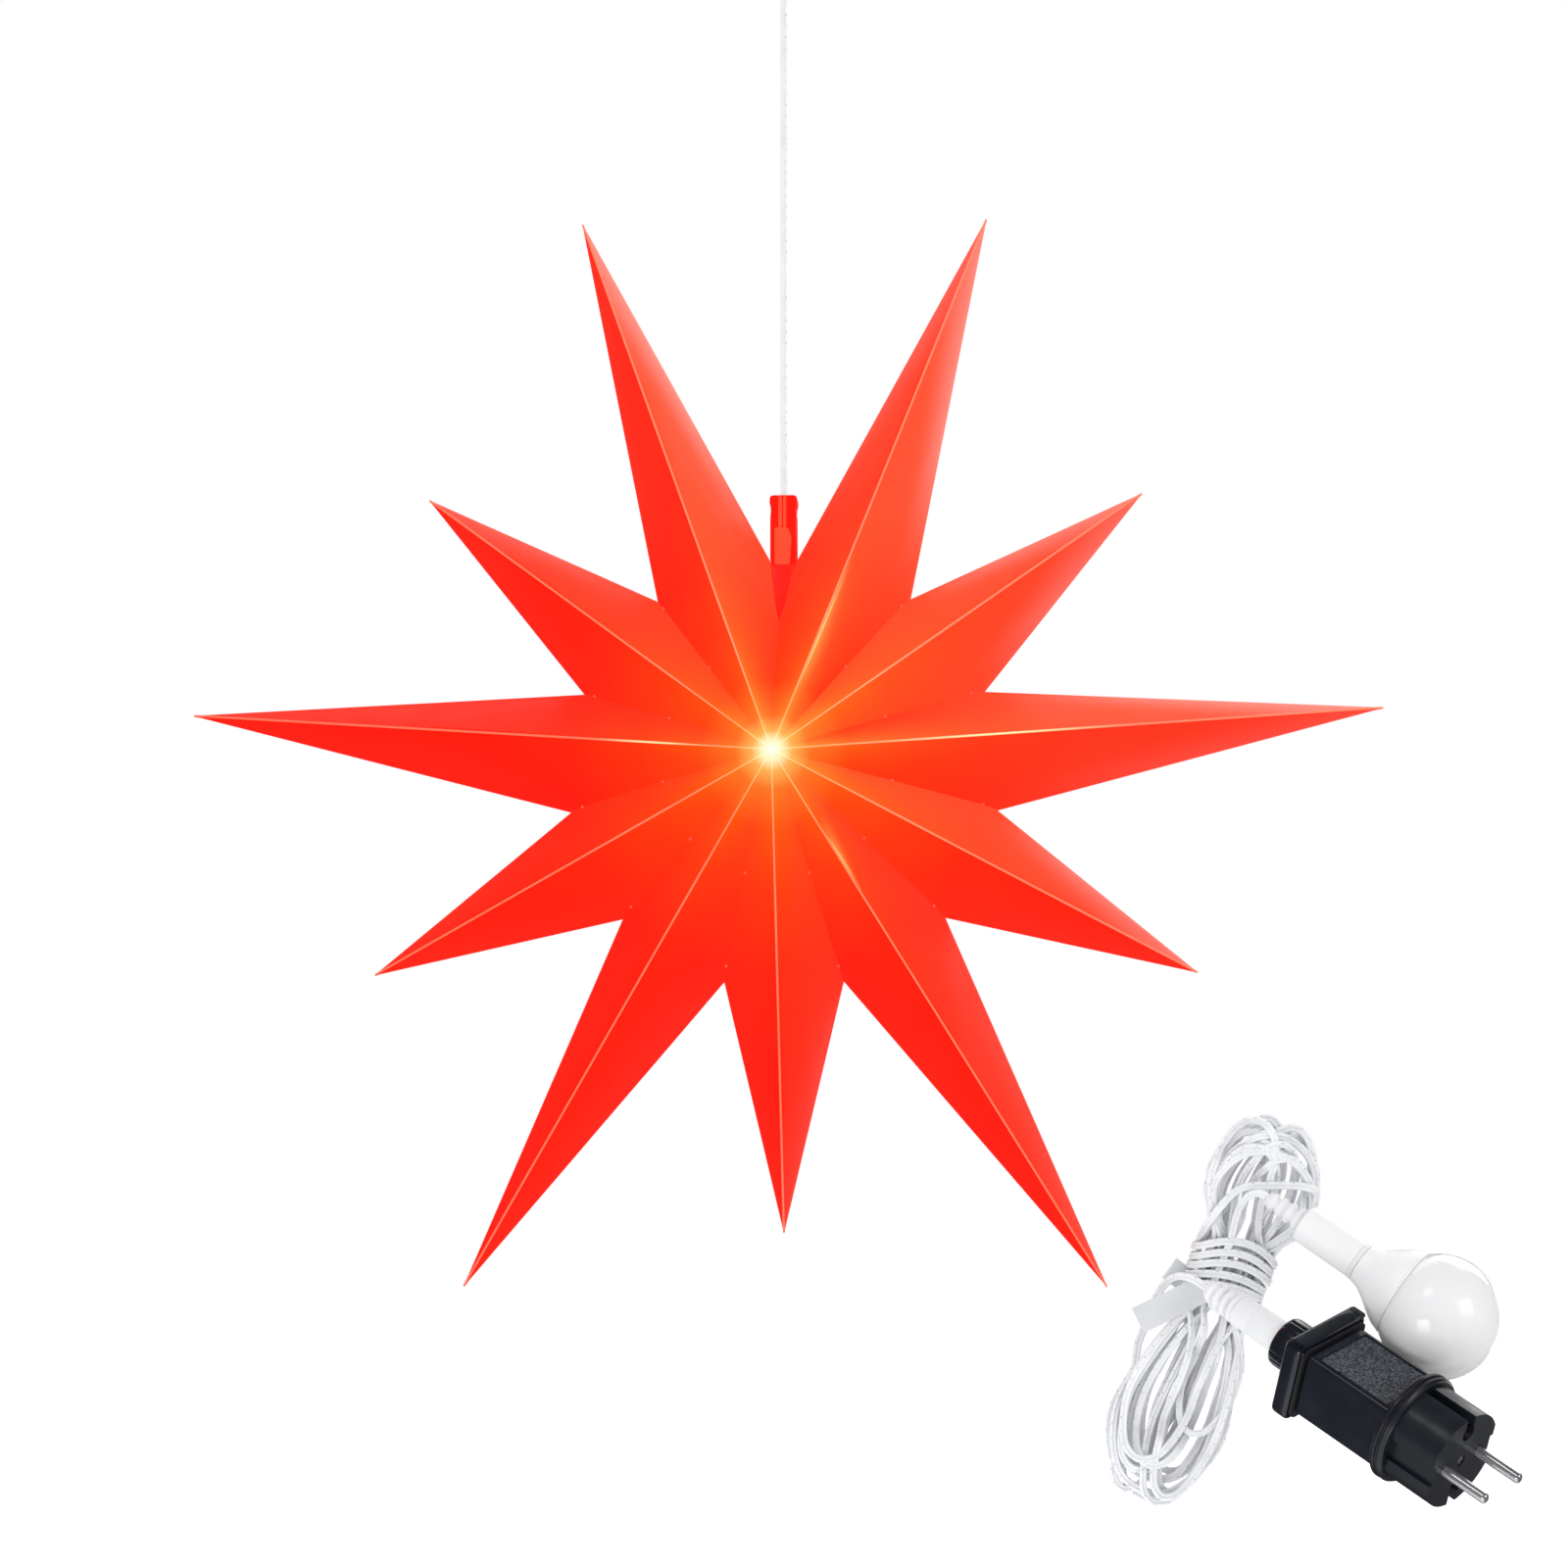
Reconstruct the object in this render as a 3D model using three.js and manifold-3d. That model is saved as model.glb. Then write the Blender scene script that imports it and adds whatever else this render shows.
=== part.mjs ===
// A folding paper-style Christmas star of eleven hollow rays, hung from a ceiling hook by its own lead,
// with the lamp inside it, and the same lamp set laid out beside it with its lead wound up and its supply.
// Millimetres, +Z up. The origin is the centre of the ceiling plate's top face. The star's flat side
// faces -Y, and angles of rays are counted clockwise from straight up, seen from -Y.

import * as THREE from 'three';
import { mergeVertices } from 'three/addons/utils/BufferGeometryUtils.js';
import Module from 'manifold-3d';

const wasm = await Module();
wasm.setup();

// General
const CLEARANCE = 0.3; // between pieces that touch on the real object
const OVERRUN = 2; // how far a cutting tool runs past the piece that it cuts

// Star
const STAR_DROP = 375; // ceiling to the star's centre
const LONG_RAY = 250; // centre to tip
const SHORT_RAY = 190;
const NOTCH_RADIUS = 90; // centre to the notch between two rays
const STAR_HALF_DEPTH = 90; // centre to the front and back points
const SHEET = 0.8;
const SEAM_WIDTH = 1.6; // the welded land along each ridge
const RAY_COUNT = 11;
const TOP_GAP = 40; // degrees between the two rays beside the clip
const VALLEY_ROLL_SHARE = 0.15; // how round the sheets turn at the valleys, from front to back
const RIDGE_ROLL_SHARE = 0.02; // and at the ridges, which end in a point
const APEX_OPEN_SHARE = 0.06; // where the sheets stop short of the front and back points
const SLIT_END_SHARE = 0.6; // down to this share of the notch radius the end leaves stand apart
const sectionShares = [0, 0.045, 0.1, 0.17, 0.27, 0.42, 0.66, 1];

// Clip that holds the star closed
const CLIP_RISE = 27; // notch to the clip's top
const CLIP_WIDTH = 11;
const CLIP_DEPTH = 13;
const CLIP_LIP_WIDTH = 11.8;
const CLIP_LIP_HEIGHT = 3.6;
const CLIP_NECK_WIDTH = 9.8;
const CLIP_NECK_HEIGHT = 5;
const CLIP_RECESS = 1.8; // the clip's flanges stay this far inside the star's edges
const clipFlangeShares = [1, 0.97, 0.9, 0.8, 0.72, 0.66];
const LATCH_WIDTH = 7;
const LATCH_HEIGHT = 15.5;
const LATCH_THICK = 1.6;
const LATCH_CORNER = 2.6;
const LATCH_DROP = 14; // clip's top to the latch's top
const CLIP_TOP = NOTCH_RADIUS + CLIP_RISE;

// Lead, a flat twin cord
const CORD_WIDTH = 2.9;
const CORD_THICK = 1.7;

// Lamp, on its own axis from the cord's end of the strain relief at 0 down to the globe
const LAMP_DROP = 51; // star's centre up to the strain relief's cord end
const RELIEF_LENGTH = 15;
const RELIEF_TIP_RADIUS = 2.9;
const RELIEF_ROOT_RADIUS = 4.3;
const RELIEF_GROOVE = 0.8;
const RELIEF_RIBS = 4;
const HOLDER_LENGTH = 24;
const HOLDER_RADIUS = 7.1;
const HOLDER_WALL = 1.5;
const HOLDER_CHAMFER = 0.8;
const HOLDER_FLOOR = 3;
const SEAL_RADIUS = 7;
const SEAL_THICK = 1.2;
const CAP_RADIUS = 5.1; // the bulb's screw cap inside the holder
const CAP_LENGTH = 17;
const BULB_NECK_RADIUS = 7.5;
const BULB_LENGTH = 19;
const BULB_WALL = 1.6;
const GLOBE_RADIUS = 22.5;
const GLOBE_WALL = 1.2;
const GLOBE_LIP = 2;
const GLOBE_LIP_PLAY = 0.9; // between the lip and the bulb body's mouth
const SEAM_RADIUS = 16.8;
const LED_BOARD_RADIUS = 13.2;
const LED_BOARD_THICK = 1.2;
const LED_CIRCLE = 8.5;
const LED_SIZE = 3;
const LED_HEIGHT = 0.8;
const LED_COUNT = 6;

// Ceiling hook and the loop in the star's lead
const PLATE_RADIUS = 20;
const PLATE_THICK = 4;
const PLATE_EDGE = 1.5;
const HOOK_WIRE = 1.5; // radius
const HOOK_RADIUS = 6;
const HOOK_BOTTOM = 22; // ceiling to the middle of the wire where the loop hangs
const HOOK_START = 130; // degrees round the hook's circle, from +X
const HOOK_END = 375;
const LOOP_HALF_WIDTH = 4.4;
const LOOP_HEIGHT = 14;
const LOOP_PLAY = 0.5; // between the loop and the hook's wire
const FERRULE_RADIUS = 2.4;
const FERRULE_LENGTH = 7;

// Hank of the lamp set's lead. Its own frame has +Z along it and +Y away from the viewer, and its
// origin is the middle of its waist.
const HANK_TOP = 61;
const HANK_BOTTOM = 87;
const HANK_LOBE = 20.5; // half width to the middle of the outer strand
const HANK_WAIST = 11.8;
const LOBE_STEP = 3; // strand to strand, half way across a layer
const WAIST_STEP = 2.5;
const LAYER_STEP = 3.4;
const LAYER_COUNT = 4;
const LOOPS_PER_LAYER = 4;
const HANK_SIDES = 6;
const HANK_TAIL_STEPS = 13; // of the last loop's steps, the ones that are wound
const CLIMB_SHARE = 0.25; // of a loop, on each side of where it climbs to the next layer
const TIE_TURNS = 5.58;
const TIE_STEP = 3.3;
const TIE_START_TURN = -0.08; // of a turn round the waist, from +X towards +Y
const TIE_START = -7; // along the hank
const TIE_LOOP_STEPS = 24;
const TIE_GAP = 1.2;
const TIE_CORNER = 5;
// One run of a loop from its lower end to its upper end: share of the length that way, share of the
// width, and how far it is drawn in to the waist.
const runShares = [
  [-0.97, 0.4, 0], [-0.87, 0.72, 0], [-0.7, 0.95, 0], [-0.5, 1, 0], [-0.3, 1, 0.35], [-0.14, 1, 1],
  [0.2, 1, 1], [0.38, 1, 0.4], [0.6, 1, 0], [0.82, 0.86, 0], [0.95, 0.52, 0],
];
const HANK_START_ROW = 4; // the run's row where the hank begins, on its left run

// Free stretches of the set's lead, as points chosen by hand in the hank's frame: from the lamp down
// to the tie, from the supply to the hank's first strand, and from the tie's end to the hank's last one
const stretchToLamp = [
  [0.9, -16.3, 34], [-1.9, -15.25, 34.5], [-4.3, -13.6, 33.2], [-6, -11.6, 30.2], [-6.5, -9.8, 26],
  [-6, -8.8, 21], [-5.2, -8.5, 16.5], [-4.8, -8.5, 13.6], [-4.8, -8.5, 11.1],
];
const stretchToSupply = [
  [-7.1, -19, -4.7], [-9.5, -17.3, -4.3], [-13.4, -14.2, -3.8], [-17.4, -9.4, -5], [-20, -3.2, -9],
  [-20.9, 1.5, -14.5], [-20.7, 4.2, -20], [-20.4, 5, -27], [-20.4, 5.1, -35], [-20.5, 5.1, -43.2],
];
const stretchToTie = [
  [-14.9, -3, 12.4], [-15, -6, 14.4], [-14.7, -8.6, 18], [-13.4, -9.3, 23], [-11.8, -9.5, 27.8],
  [-9.7, -9.7, 32], [-6.4, -9.7, 34.9], [-2.6, -9.7, 36.7], [2, -9.6, 38.6], [7, -9.6, 40.6],
  [11.8, -9.4, 42.2], [15.6, -8.8, 42.7], [17.8, -7, 42.2], [18.7, -5.2, 41.4], [18.8, -3.7, 41],
];

// Tag on the set's lead
const TAG_LENGTH = 25;
const TAG_HEIGHT = 10;
const TAG_THICK = 0.5;
const TAG_CORNER = 0.8;
const TAG_LEAN = 48; // degrees, in the hank's frame
const TAG_LEFT = 16.5; // hank's waist to the tag's middle
const TAG_DOWN = 16;

// Supply, on its own axis: +X to the pins, +Z to its top, 0 at the front of the rear cover's flange
const COVER_WIDTH = 37;
const COVER_HEIGHT = 32;
const COVER_THICK = 7.3;
const COVER_CORNER = 3.2;
const SPOUT_RADIUS = 6.5;
const SPOUT_LENGTH = 11;
const NUT_RADIUS = 9.6;
const NUT_LENGTH = 12;
const NUT_GRIPS = 16;
const NUT_GRIP_DEPTH = 0.5;
const SLEEVE_RADIUS = 6;
const SLEEVE_LENGTH = 22;
const SLEEVE_RELIEF = 15;
const SLEEVE_TIP_RADIUS = 3.8;
const SLEEVE_RIBS = 4;
const GASKET_THICK = 1;
const GASKET_LIP = 1.5; // how far the gasket stands out past the housing
const HOUSING_LENGTH = 36;
const HOUSING_WIDTH = 31;
const HOUSING_HEIGHT = 26;
const HOUSING_WALL = 2;
const HOUSING_CORNER = 2.6;
const COLLAR_RADIUS = 21;
const COLLAR_THICK = 5.2;
const COLLAR_GROOVE = 1;
const FRONT_RADIUS = 18.6;
const FRONT_LENGTH = 19;
const FRONT_FLAT = 16.6; // middle to the flats at the front's two sides
const FRONT_POCKET_RADIUS = 12;
const FRONT_POCKET_DEPTH = 7;
const EARTH_SLOT_WIDTH = 4.4;
const EARTH_SLOT_DEPTH = 6.5;
const EARTH_HOLE_RADIUS = 3.1;
const PIN_RADIUS = 2;
const PIN_SPACING = 19;
const PIN_LENGTH = 19;
const PIN_ROOT = 16; // how far the pins reach back into the front
const PIN_NOSE = 1.4;
const SCREW_RADIUS = 1.9;
const SCREW_LENGTH = 9;
const SCREW_SINK = 0.8;
const BOARD_LENGTH = 30;
const BOARD_WIDTH = 24;
const BOARD_THICK = 1.6;
const BOARD_DROP = 9.4; // middle of the housing down to the board
const CORE_SIZE = 14;
const CORE_PLATE = 3;
const WINDING_RADIUS = 6.6;
const WINDING_BORE = 2.4;
const CAPACITOR_RADIUS = 4;
const CAPACITOR_HEIGHT = 12;

// Where the set and its pieces lie: from the star's centre to the set, then in the set's own frame
const SET_PLACE = [187, -225, -219];
const SET_TURN = 3.2; // degrees, towards the viewer
const SET_TIP = 6.2;
const HANK_PLACE = [-11.3, 52, 6.2];
const HANK_LEAN = 22;
const SUPPLY_PLACE = [18.6, 0, -19.8];
const SUPPLY_TURN = -40.8;
const SUPPLY_DIP = 25.7;
const SUPPLY_ROLL = 16.5;
const SET_LAMP_PLACE = [2.5, 35.6, 37.2];
const SET_LAMP_TURN = -23.8;
const SET_LAMP_LEAN = -57.9;

const ROUND_STEPS = 20;
const SMALL_ROUND_STEPS = 12;
const LARGE_ROUND_STEPS = 32;
const CORD_SIDES = 8;
const MERGE_DISTANCE = 1e-4; // corners nearer than this are one

const radians = THREE.MathUtils.degToRad;
const scaled = (v, k) => v.map((n) => n * k);
const plus = (a, b) => a.map((n, i) => n + b[i]);

function finish(color, roughness, metalness = 0) {
  return new THREE.MeshStandardMaterial({ color, roughness, metalness });
}

const finishes = {
  sheet: finish(0xf52a12, 0.5),
  clip: finish(0xf4321a, 0.3),
  opal: finish(0xf5f5f3, 0.25),
  whitePlastic: finish(0xf1f1f1, 0.45),
  softWhite: finish(0xe6e7ea, 0.6),
  cord: finish(0xe4e5e8, 0.55),
  tag: finish(0xeceef0, 0.7),
  blackPlastic: finish(0x1a1c22, 0.35),
  rubber: finish(0x111214, 0.8),
  steel: finish(0xc9ccd1, 0.25, 1),
  board: finish(0x2f6b45, 0.6),
  copper: finish(0xb3652e, 0.4, 1),
  ferrite: finish(0x3a3b3f, 0.7),
};

// Closed meshes from lists of corners, with their faces turned outwards
function closedGeometry(corners, faces) {
  const volume = faces.reduce((sum, [a, b, c]) => {
    const [p, q, r] = [a, b, c].map((i) => new THREE.Vector3(...corners[i]));
    return sum + p.dot(q.cross(r));
  }, 0);
  const turned = volume < 0 ? faces.map(([a, b, c]) => [a, c, b]) : faces;
  const geometry = new THREE.BufferGeometry();
  geometry.setAttribute('position', new THREE.Float32BufferAttribute(corners.flat(), 3));
  geometry.setIndex(turned.flat());
  return geometry;
}

// Rings of equally many corners, joined in turn, with caps given as triangles of a ring's corners
function loft(rings, capFaces) {
  const n = rings[0].length;
  const faces = [];
  for (let k = 0; k + 1 < rings.length; k += 1) {
    for (let i = 0; i < n; i += 1) {
      const [a, b] = [k * n + i, k * n + ((i + 1) % n)];
      faces.push([a, b, b + n], [a, b + n, a + n]);
    }
  }
  const last = (rings.length - 1) * n;
  capFaces.forEach(([a, b, c]) => faces.push([a, c, b], [last + a, last + b, last + c]));
  return closedGeometry(rings.flat(), faces);
}

const fan = (n) => Array.from({ length: n - 2 }, (_, i) => [0, i + 1, i + 2]);

function solidOf(geometry) {
  const bare = geometry.clone();
  bare.deleteAttribute('normal');
  bare.deleteAttribute('uv');
  const merged = mergeVertices(bare, MERGE_DISTANCE);
  return new wasm.Manifold(new wasm.Mesh({
    numProp: 3,
    vertProperties: new Float32Array(merged.attributes.position.array),
    triVerts: new Uint32Array(merged.index.array),
  }));
}

function geometryOf(solid) {
  const mesh = solid.getMesh();
  const geometry = new THREE.BufferGeometry();
  geometry.setAttribute('position', new THREE.BufferAttribute(mesh.vertProperties, 3));
  geometry.setIndex(new THREE.BufferAttribute(mesh.triVerts, 1));
  return geometry;
}

function cut(geometry, ...tools) {
  return geometryOf(tools.reduce((solid, tool) => solid.subtract(solidOf(tool)), solidOf(geometry)));
}

function join(geometry, ...others) {
  return geometryOf(others.reduce((solid, other) => solid.add(solidOf(other)), solidOf(geometry)));
}

// A turned piece about Z from points of [radius, height], given upwards or downwards
function turned(profile, steps = ROUND_STEPS) {
  const points = profile.map(([r, z]) => new THREE.Vector2(r, z));
  if (THREE.ShapeUtils.area(points) < 0) points.reverse();
  return new THREE.LatheGeometry(points, steps).rotateX(Math.PI / 2);
}

// A turned piece about X from points of [radius, place along X]
const turnedAlongX = (profile, steps) => turned(profile, steps).rotateY(Math.PI / 2);

function disc(radius, low, high, steps) {
  return turned([[0, low], [radius, low], [radius, high], [0, high]], steps);
}

function box(size, middle) {
  return new THREE.BoxGeometry(...size).translate(...middle);
}

// A block along X with rounded corners in its YZ section
function roundedBlock(width, height, corner, from, to) {
  const shape = roundedShape(width, height, corner);
  const block = new THREE.ExtrudeGeometry(shape, { depth: to - from, bevelEnabled: false, curveSegments: 3 });
  return block.rotateX(Math.PI / 2).rotateZ(Math.PI / 2).translate(from, 0, 0);
}

function roundedShape(width, height, corner) {
  const [x, y] = [width / 2, height / 2];
  const shape = new THREE.Shape().moveTo(x - corner, -y);
  shape.absarc(x - corner, -y + corner, corner, -Math.PI / 2, 0);
  shape.absarc(x - corner, y - corner, corner, 0, Math.PI / 2);
  shape.absarc(-x + corner, y - corner, corner, Math.PI / 2, Math.PI);
  shape.absarc(-x + corner, -y + corner, corner, Math.PI, 1.5 * Math.PI);
  return shape;
}

function named(name, geometry, material) {
  const mesh = new THREE.Mesh(geometry, material);
  mesh.name = name;
  return mesh;
}

function group(...children) {
  return new THREE.Group().add(...children);
}

// Star: the sheets narrow from the middle plane to the front and back points. At a depth u, as a share
// of the half depth, a valley or ridge lies at narrowing(u) of its reach in the middle plane, and
// depthWhere gives the depth for that share. Both turn round at the middle plane by their roll.
const rollSpan = (roll) => Math.hypot(1, roll) - roll;
const narrowing = (u, roll) => 1 - (Math.hypot(u, roll) - roll) / rollSpan(roll);
const depthWhere = (scale, roll) => Math.sqrt(((1 - scale) * rollSpan(roll) + roll) ** 2 - roll ** 2);
const END_DEPTH = depthWhere(APEX_OPEN_SHARE, VALLEY_ROLL_SHARE);
const depths = [
  ...sectionShares.slice(1).reverse().map((share) => -share * END_DEPTH),
  ...sectionShares.map((share) => share * END_DEPTH),
];
const RAY_STEP = (360 - TOP_GAP) / (RAY_COUNT - 1);

const slitHalf = (scale) => {
  const opened = Math.max(0, (scale - SLIT_END_SHARE) / (1 - SLIT_END_SHARE));
  return CLEARANCE / 2 + opened * (CLIP_WIDTH / 2 + CLEARANCE / 2);
};

// Directions in the star's plane as [x, z]
const along = (degrees) => [Math.sin(radians(degrees)), Math.cos(radians(degrees))];
const across = (degrees) => [Math.cos(radians(degrees)), -Math.sin(radians(degrees))];

function leaf(rayAngle, reach, side, besideClip) {
  const valleyAngle = rayAngle + side * RAY_STEP / 2;
  const at = (angle, distance, off) => (
    plus(scaled(along(angle), distance), scaled(across(angle), side * off))
  );
  const valley = (scale, slitScale) => (besideClip
    ? [-side * slitHalf(slitScale), NOTCH_RADIUS * scale]
    : at(valleyAngle, NOTCH_RADIUS * scale, -CLEARANCE / 2));
  const ridge = (scale, off) => at(rayAngle, reach * scale, off);
  const half = radians(RAY_STEP / 2);
  const edge = Math.hypot(reach - NOTCH_RADIUS * Math.cos(half), NOTCH_RADIUS * Math.sin(half));
  const wallDistance = reach * NOTCH_RADIUS * Math.sin(half) / edge;
  const inset = SHEET * Math.hypot(STAR_HALF_DEPTH, wallDistance) / STAR_HALF_DEPTH / wallDistance;
  const rings = depths.map((u) => {
    const [low, high] = [narrowing(u, VALLEY_ROLL_SHARE), narrowing(u, RIDGE_ROLL_SHARE)];
    const flat = [
      valley(low, low), ridge(high, SEAM_WIDTH / 2), ridge(high, CLEARANCE / 2),
      ridge(high - inset, CLEARANCE / 2), valley(low - inset, low),
    ];
    return flat.map(([x, z]) => [x, u * STAR_HALF_DEPTH, z]);
  });
  return loft(rings, [[0, 1, 3], [1, 2, 3], [0, 3, 4]]);
}

function starLeaves() {
  const leaves = [];
  for (let i = 0; i < RAY_COUNT; i += 1) {
    const rayAngle = TOP_GAP / 2 + i * RAY_STEP;
    const reach = i % 2 === 0 ? LONG_RAY : SHORT_RAY;
    const number = String(i + 1).padStart(2, '0');
    const [first, last] = [i === 0, i === RAY_COUNT - 1];
    leaves.push(named(`leaf_${number}_left`, leaf(rayAngle, reach, -1, first), finishes.sheet));
    leaves.push(named(`leaf_${number}_right`, leaf(rayAngle, reach, 1, last), finishes.sheet));
  }
  return leaves;
}

// Clip: two half shells with a groove for the lead, and flanges that follow the end leaves' edges.
// flangeDepth gives how far the flanges reach to the front and back, by the share of the notch radius.
const flangeDepth = (share) => Math.max(
  CLIP_DEPTH / 2,
  depthWhere(Math.min(share, 1), VALLEY_ROLL_SHARE) * STAR_HALF_DEPTH - CLIP_RECESS,
);

function clipHalf(side) {
  const lipFoot = CLIP_TOP - CLIP_LIP_HEIGHT;
  const stations = [
    [CLIP_TOP, CLIP_LIP_WIDTH / 2, CLIP_DEPTH / 2],
    [lipFoot, CLIP_LIP_WIDTH / 2, CLIP_DEPTH / 2],
    [lipFoot, CLIP_NECK_WIDTH / 2, CLIP_DEPTH / 2],
    [lipFoot - CLIP_NECK_HEIGHT / 2, CLIP_NECK_WIDTH / 2, CLIP_DEPTH / 2],
    [lipFoot - CLIP_NECK_HEIGHT, CLIP_WIDTH / 2, CLIP_DEPTH / 2],
    ...clipFlangeShares.map((share) => [
      NOTCH_RADIUS * share,
      slitHalf(share) - CLEARANCE,
      flangeDepth(share),
    ]),
  ];
  const rings = stations.map(([z, half, deep]) => [
    [side * CLEARANCE / 2, -deep, z], [side * half, -deep, z],
    [side * half, deep, z], [side * CLEARANCE / 2, deep, z],
  ]);
  const groove = box(
    [CORD_WIDTH + 2 * CLEARANCE, CORD_THICK + 2 * CLEARANCE, CLIP_TOP + OVERRUN],
    [0, 0, CLIP_TOP / 2 + OVERRUN],
  );
  return cut(loft(rings, fan(4)), groove);
}

function clipLatch() {
  const [half, top] = [LATCH_WIDTH / 2, CLIP_TOP - LATCH_DROP];
  const foot = top - LATCH_HEIGHT;
  const shape = new THREE.Shape([
    [-half, foot], [half, foot], [half, top - LATCH_CORNER], [half - LATCH_CORNER, top], [-half, top],
  ].map(([x, z]) => new THREE.Vector2(x, z)));
  const plate = new THREE.ExtrudeGeometry(shape, { depth: LATCH_THICK, bevelEnabled: false });
  return plate.rotateX(Math.PI / 2).translate(0, -flangeDepth(foot / NOTCH_RADIUS) - CLEARANCE, 0);
}

// Lamp
const HOLDER_TOP = -RELIEF_LENGTH - CLEARANCE;
const HOLDER_FOOT = HOLDER_TOP - HOLDER_LENGTH;
const SEAL_TOP = HOLDER_FOOT - CLEARANCE;
const BULB_TOP = SEAL_TOP - SEAL_THICK - CLEARANCE;
const BULB_FOOT = BULB_TOP - BULB_LENGTH;
const GLOBE_MIDDLE = BULB_FOOT - Math.sqrt(GLOBE_RADIUS ** 2 - SEAM_RADIUS ** 2);

function ribbedRelief(length, tipRadius, rootRadius, ribs) {
  const pitch = length / ribs;
  const profile = [[0, 0]];
  for (let i = 0; i < ribs; i += 1) {
    const radius = THREE.MathUtils.lerp(tipRadius, rootRadius, (i + 1) / ribs);
    const [top, foot] = [-i * pitch, -(i + 1) * pitch];
    profile.push([radius, top], [radius, (top + foot) / 2], [radius - RELIEF_GROOVE, (top + foot) / 2]);
    profile.push([radius - RELIEF_GROOVE, foot]);
  }
  profile.push([0, -length]);
  return profile;
}

function holder() {
  const bore = HOLDER_RADIUS - HOLDER_WALL;
  return turned([
    [0, HOLDER_TOP], [HOLDER_RADIUS - HOLDER_CHAMFER, HOLDER_TOP],
    [HOLDER_RADIUS, HOLDER_TOP - HOLDER_CHAMFER], [HOLDER_RADIUS, HOLDER_FOOT], [bore, HOLDER_FOOT],
    [bore, HOLDER_TOP - HOLDER_FLOOR], [0, HOLDER_TOP - HOLDER_FLOOR],
  ]);
}

function sealRing() {
  const bore = CAP_RADIUS + CLEARANCE;
  const foot = SEAL_TOP - SEAL_THICK;
  return turned([
    [bore, SEAL_TOP], [SEAL_RADIUS, SEAL_TOP], [SEAL_RADIUS, foot], [bore, foot], [bore, SEAL_TOP],
  ]);
}

function bulbBody() {
  const steps = 5;
  const bell = (share, wall) => [
    THREE.MathUtils.lerp(BULB_NECK_RADIUS, SEAM_RADIUS, THREE.MathUtils.smoothstep(share, 0, 1)) - wall,
    BULB_TOP - share * BULB_LENGTH,
  ];
  const profile = [[0, BULB_TOP + CAP_LENGTH], [CAP_RADIUS, BULB_TOP + CAP_LENGTH], [CAP_RADIUS, BULB_TOP]];
  for (let i = 0; i <= steps; i += 1) profile.push(bell(i / steps, 0));
  for (let i = steps; i > 0; i -= 1) profile.push(bell(i / steps, BULB_WALL));
  profile.push([0, bell(1 / steps, 0)[1]]);
  return turned(profile);
}

function globe() {
  const steps = 8;
  const start = Math.asin(SEAM_RADIUS / GLOBE_RADIUS);
  const arc = (radius, share) => {
    const angle = THREE.MathUtils.lerp(Math.PI, start, share);
    return [radius * Math.sin(angle), GLOBE_MIDDLE + radius * Math.cos(angle)];
  };
  const lip = SEAM_RADIUS - BULB_WALL - GLOBE_LIP_PLAY;
  const profile = [[0, GLOBE_MIDDLE - GLOBE_RADIUS]];
  for (let i = 1; i < steps; i += 1) profile.push(arc(GLOBE_RADIUS, i / steps));
  profile.push([SEAM_RADIUS, BULB_FOOT - CLEARANCE], [lip, BULB_FOOT - CLEARANCE]);
  profile.push([lip, BULB_FOOT + GLOBE_LIP], [lip - GLOBE_WALL, BULB_FOOT + GLOBE_LIP]);
  for (let i = steps - 1; i > 0; i -= 1) profile.push(arc(GLOBE_RADIUS - GLOBE_WALL, i / steps));
  profile.push([0, GLOBE_MIDDLE - GLOBE_RADIUS + GLOBE_WALL]);
  return turned(profile);
}

function ledBoard() {
  const seat = BULB_FOOT + GLOBE_LIP + CLEARANCE;
  const board = disc(LED_BOARD_RADIUS, seat, seat + LED_BOARD_THICK, ROUND_STEPS);
  const leds = Array.from({ length: LED_COUNT }, (_, i) => {
    const led = box([LED_SIZE, LED_SIZE, 2 * LED_HEIGHT], [LED_CIRCLE, 0, seat]);
    return led.rotateZ(i * 2 * Math.PI / LED_COUNT);
  });
  return join(board, ...leds);
}

function lamp(prefix) {
  const ribbed = ribbedRelief(RELIEF_LENGTH, RELIEF_TIP_RADIUS, RELIEF_ROOT_RADIUS, RELIEF_RIBS);
  const relief = turned(ribbed, SMALL_ROUND_STEPS);
  return group(
    named(`${prefix}_strain_relief`, relief, finishes.softWhite),
    named(`${prefix}_lamp_holder`, holder(), finishes.whitePlastic),
    named(`${prefix}_seal_ring`, sealRing(), finishes.softWhite),
    named(`${prefix}_bulb_body`, bulbBody(), finishes.whitePlastic),
    named(`${prefix}_led_board`, ledBoard(), finishes.opal),
    named(`${prefix}_globe`, globe(), finishes.opal),
  );
}

// Cords
function cordSection() {
  return new THREE.Shape(Array.from({ length: CORD_SIDES }, (_, i) => {
    const angle = (i + 0.5) * 2 * Math.PI / CORD_SIDES;
    return new THREE.Vector2(CORD_THICK / 2 * Math.cos(angle), CORD_WIDTH / 2 * Math.sin(angle));
  }));
}

function cordAlong(points, stepsPerPoint) {
  const path = new THREE.CatmullRomCurve3(points.map((p) => new THREE.Vector3(...p)), false, 'centripetal');
  const steps = (points.length - 1) * stepsPerPoint;
  return new THREE.ExtrudeGeometry(cordSection(), { steps, extrudePath: path, bevelEnabled: false });
}

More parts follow.
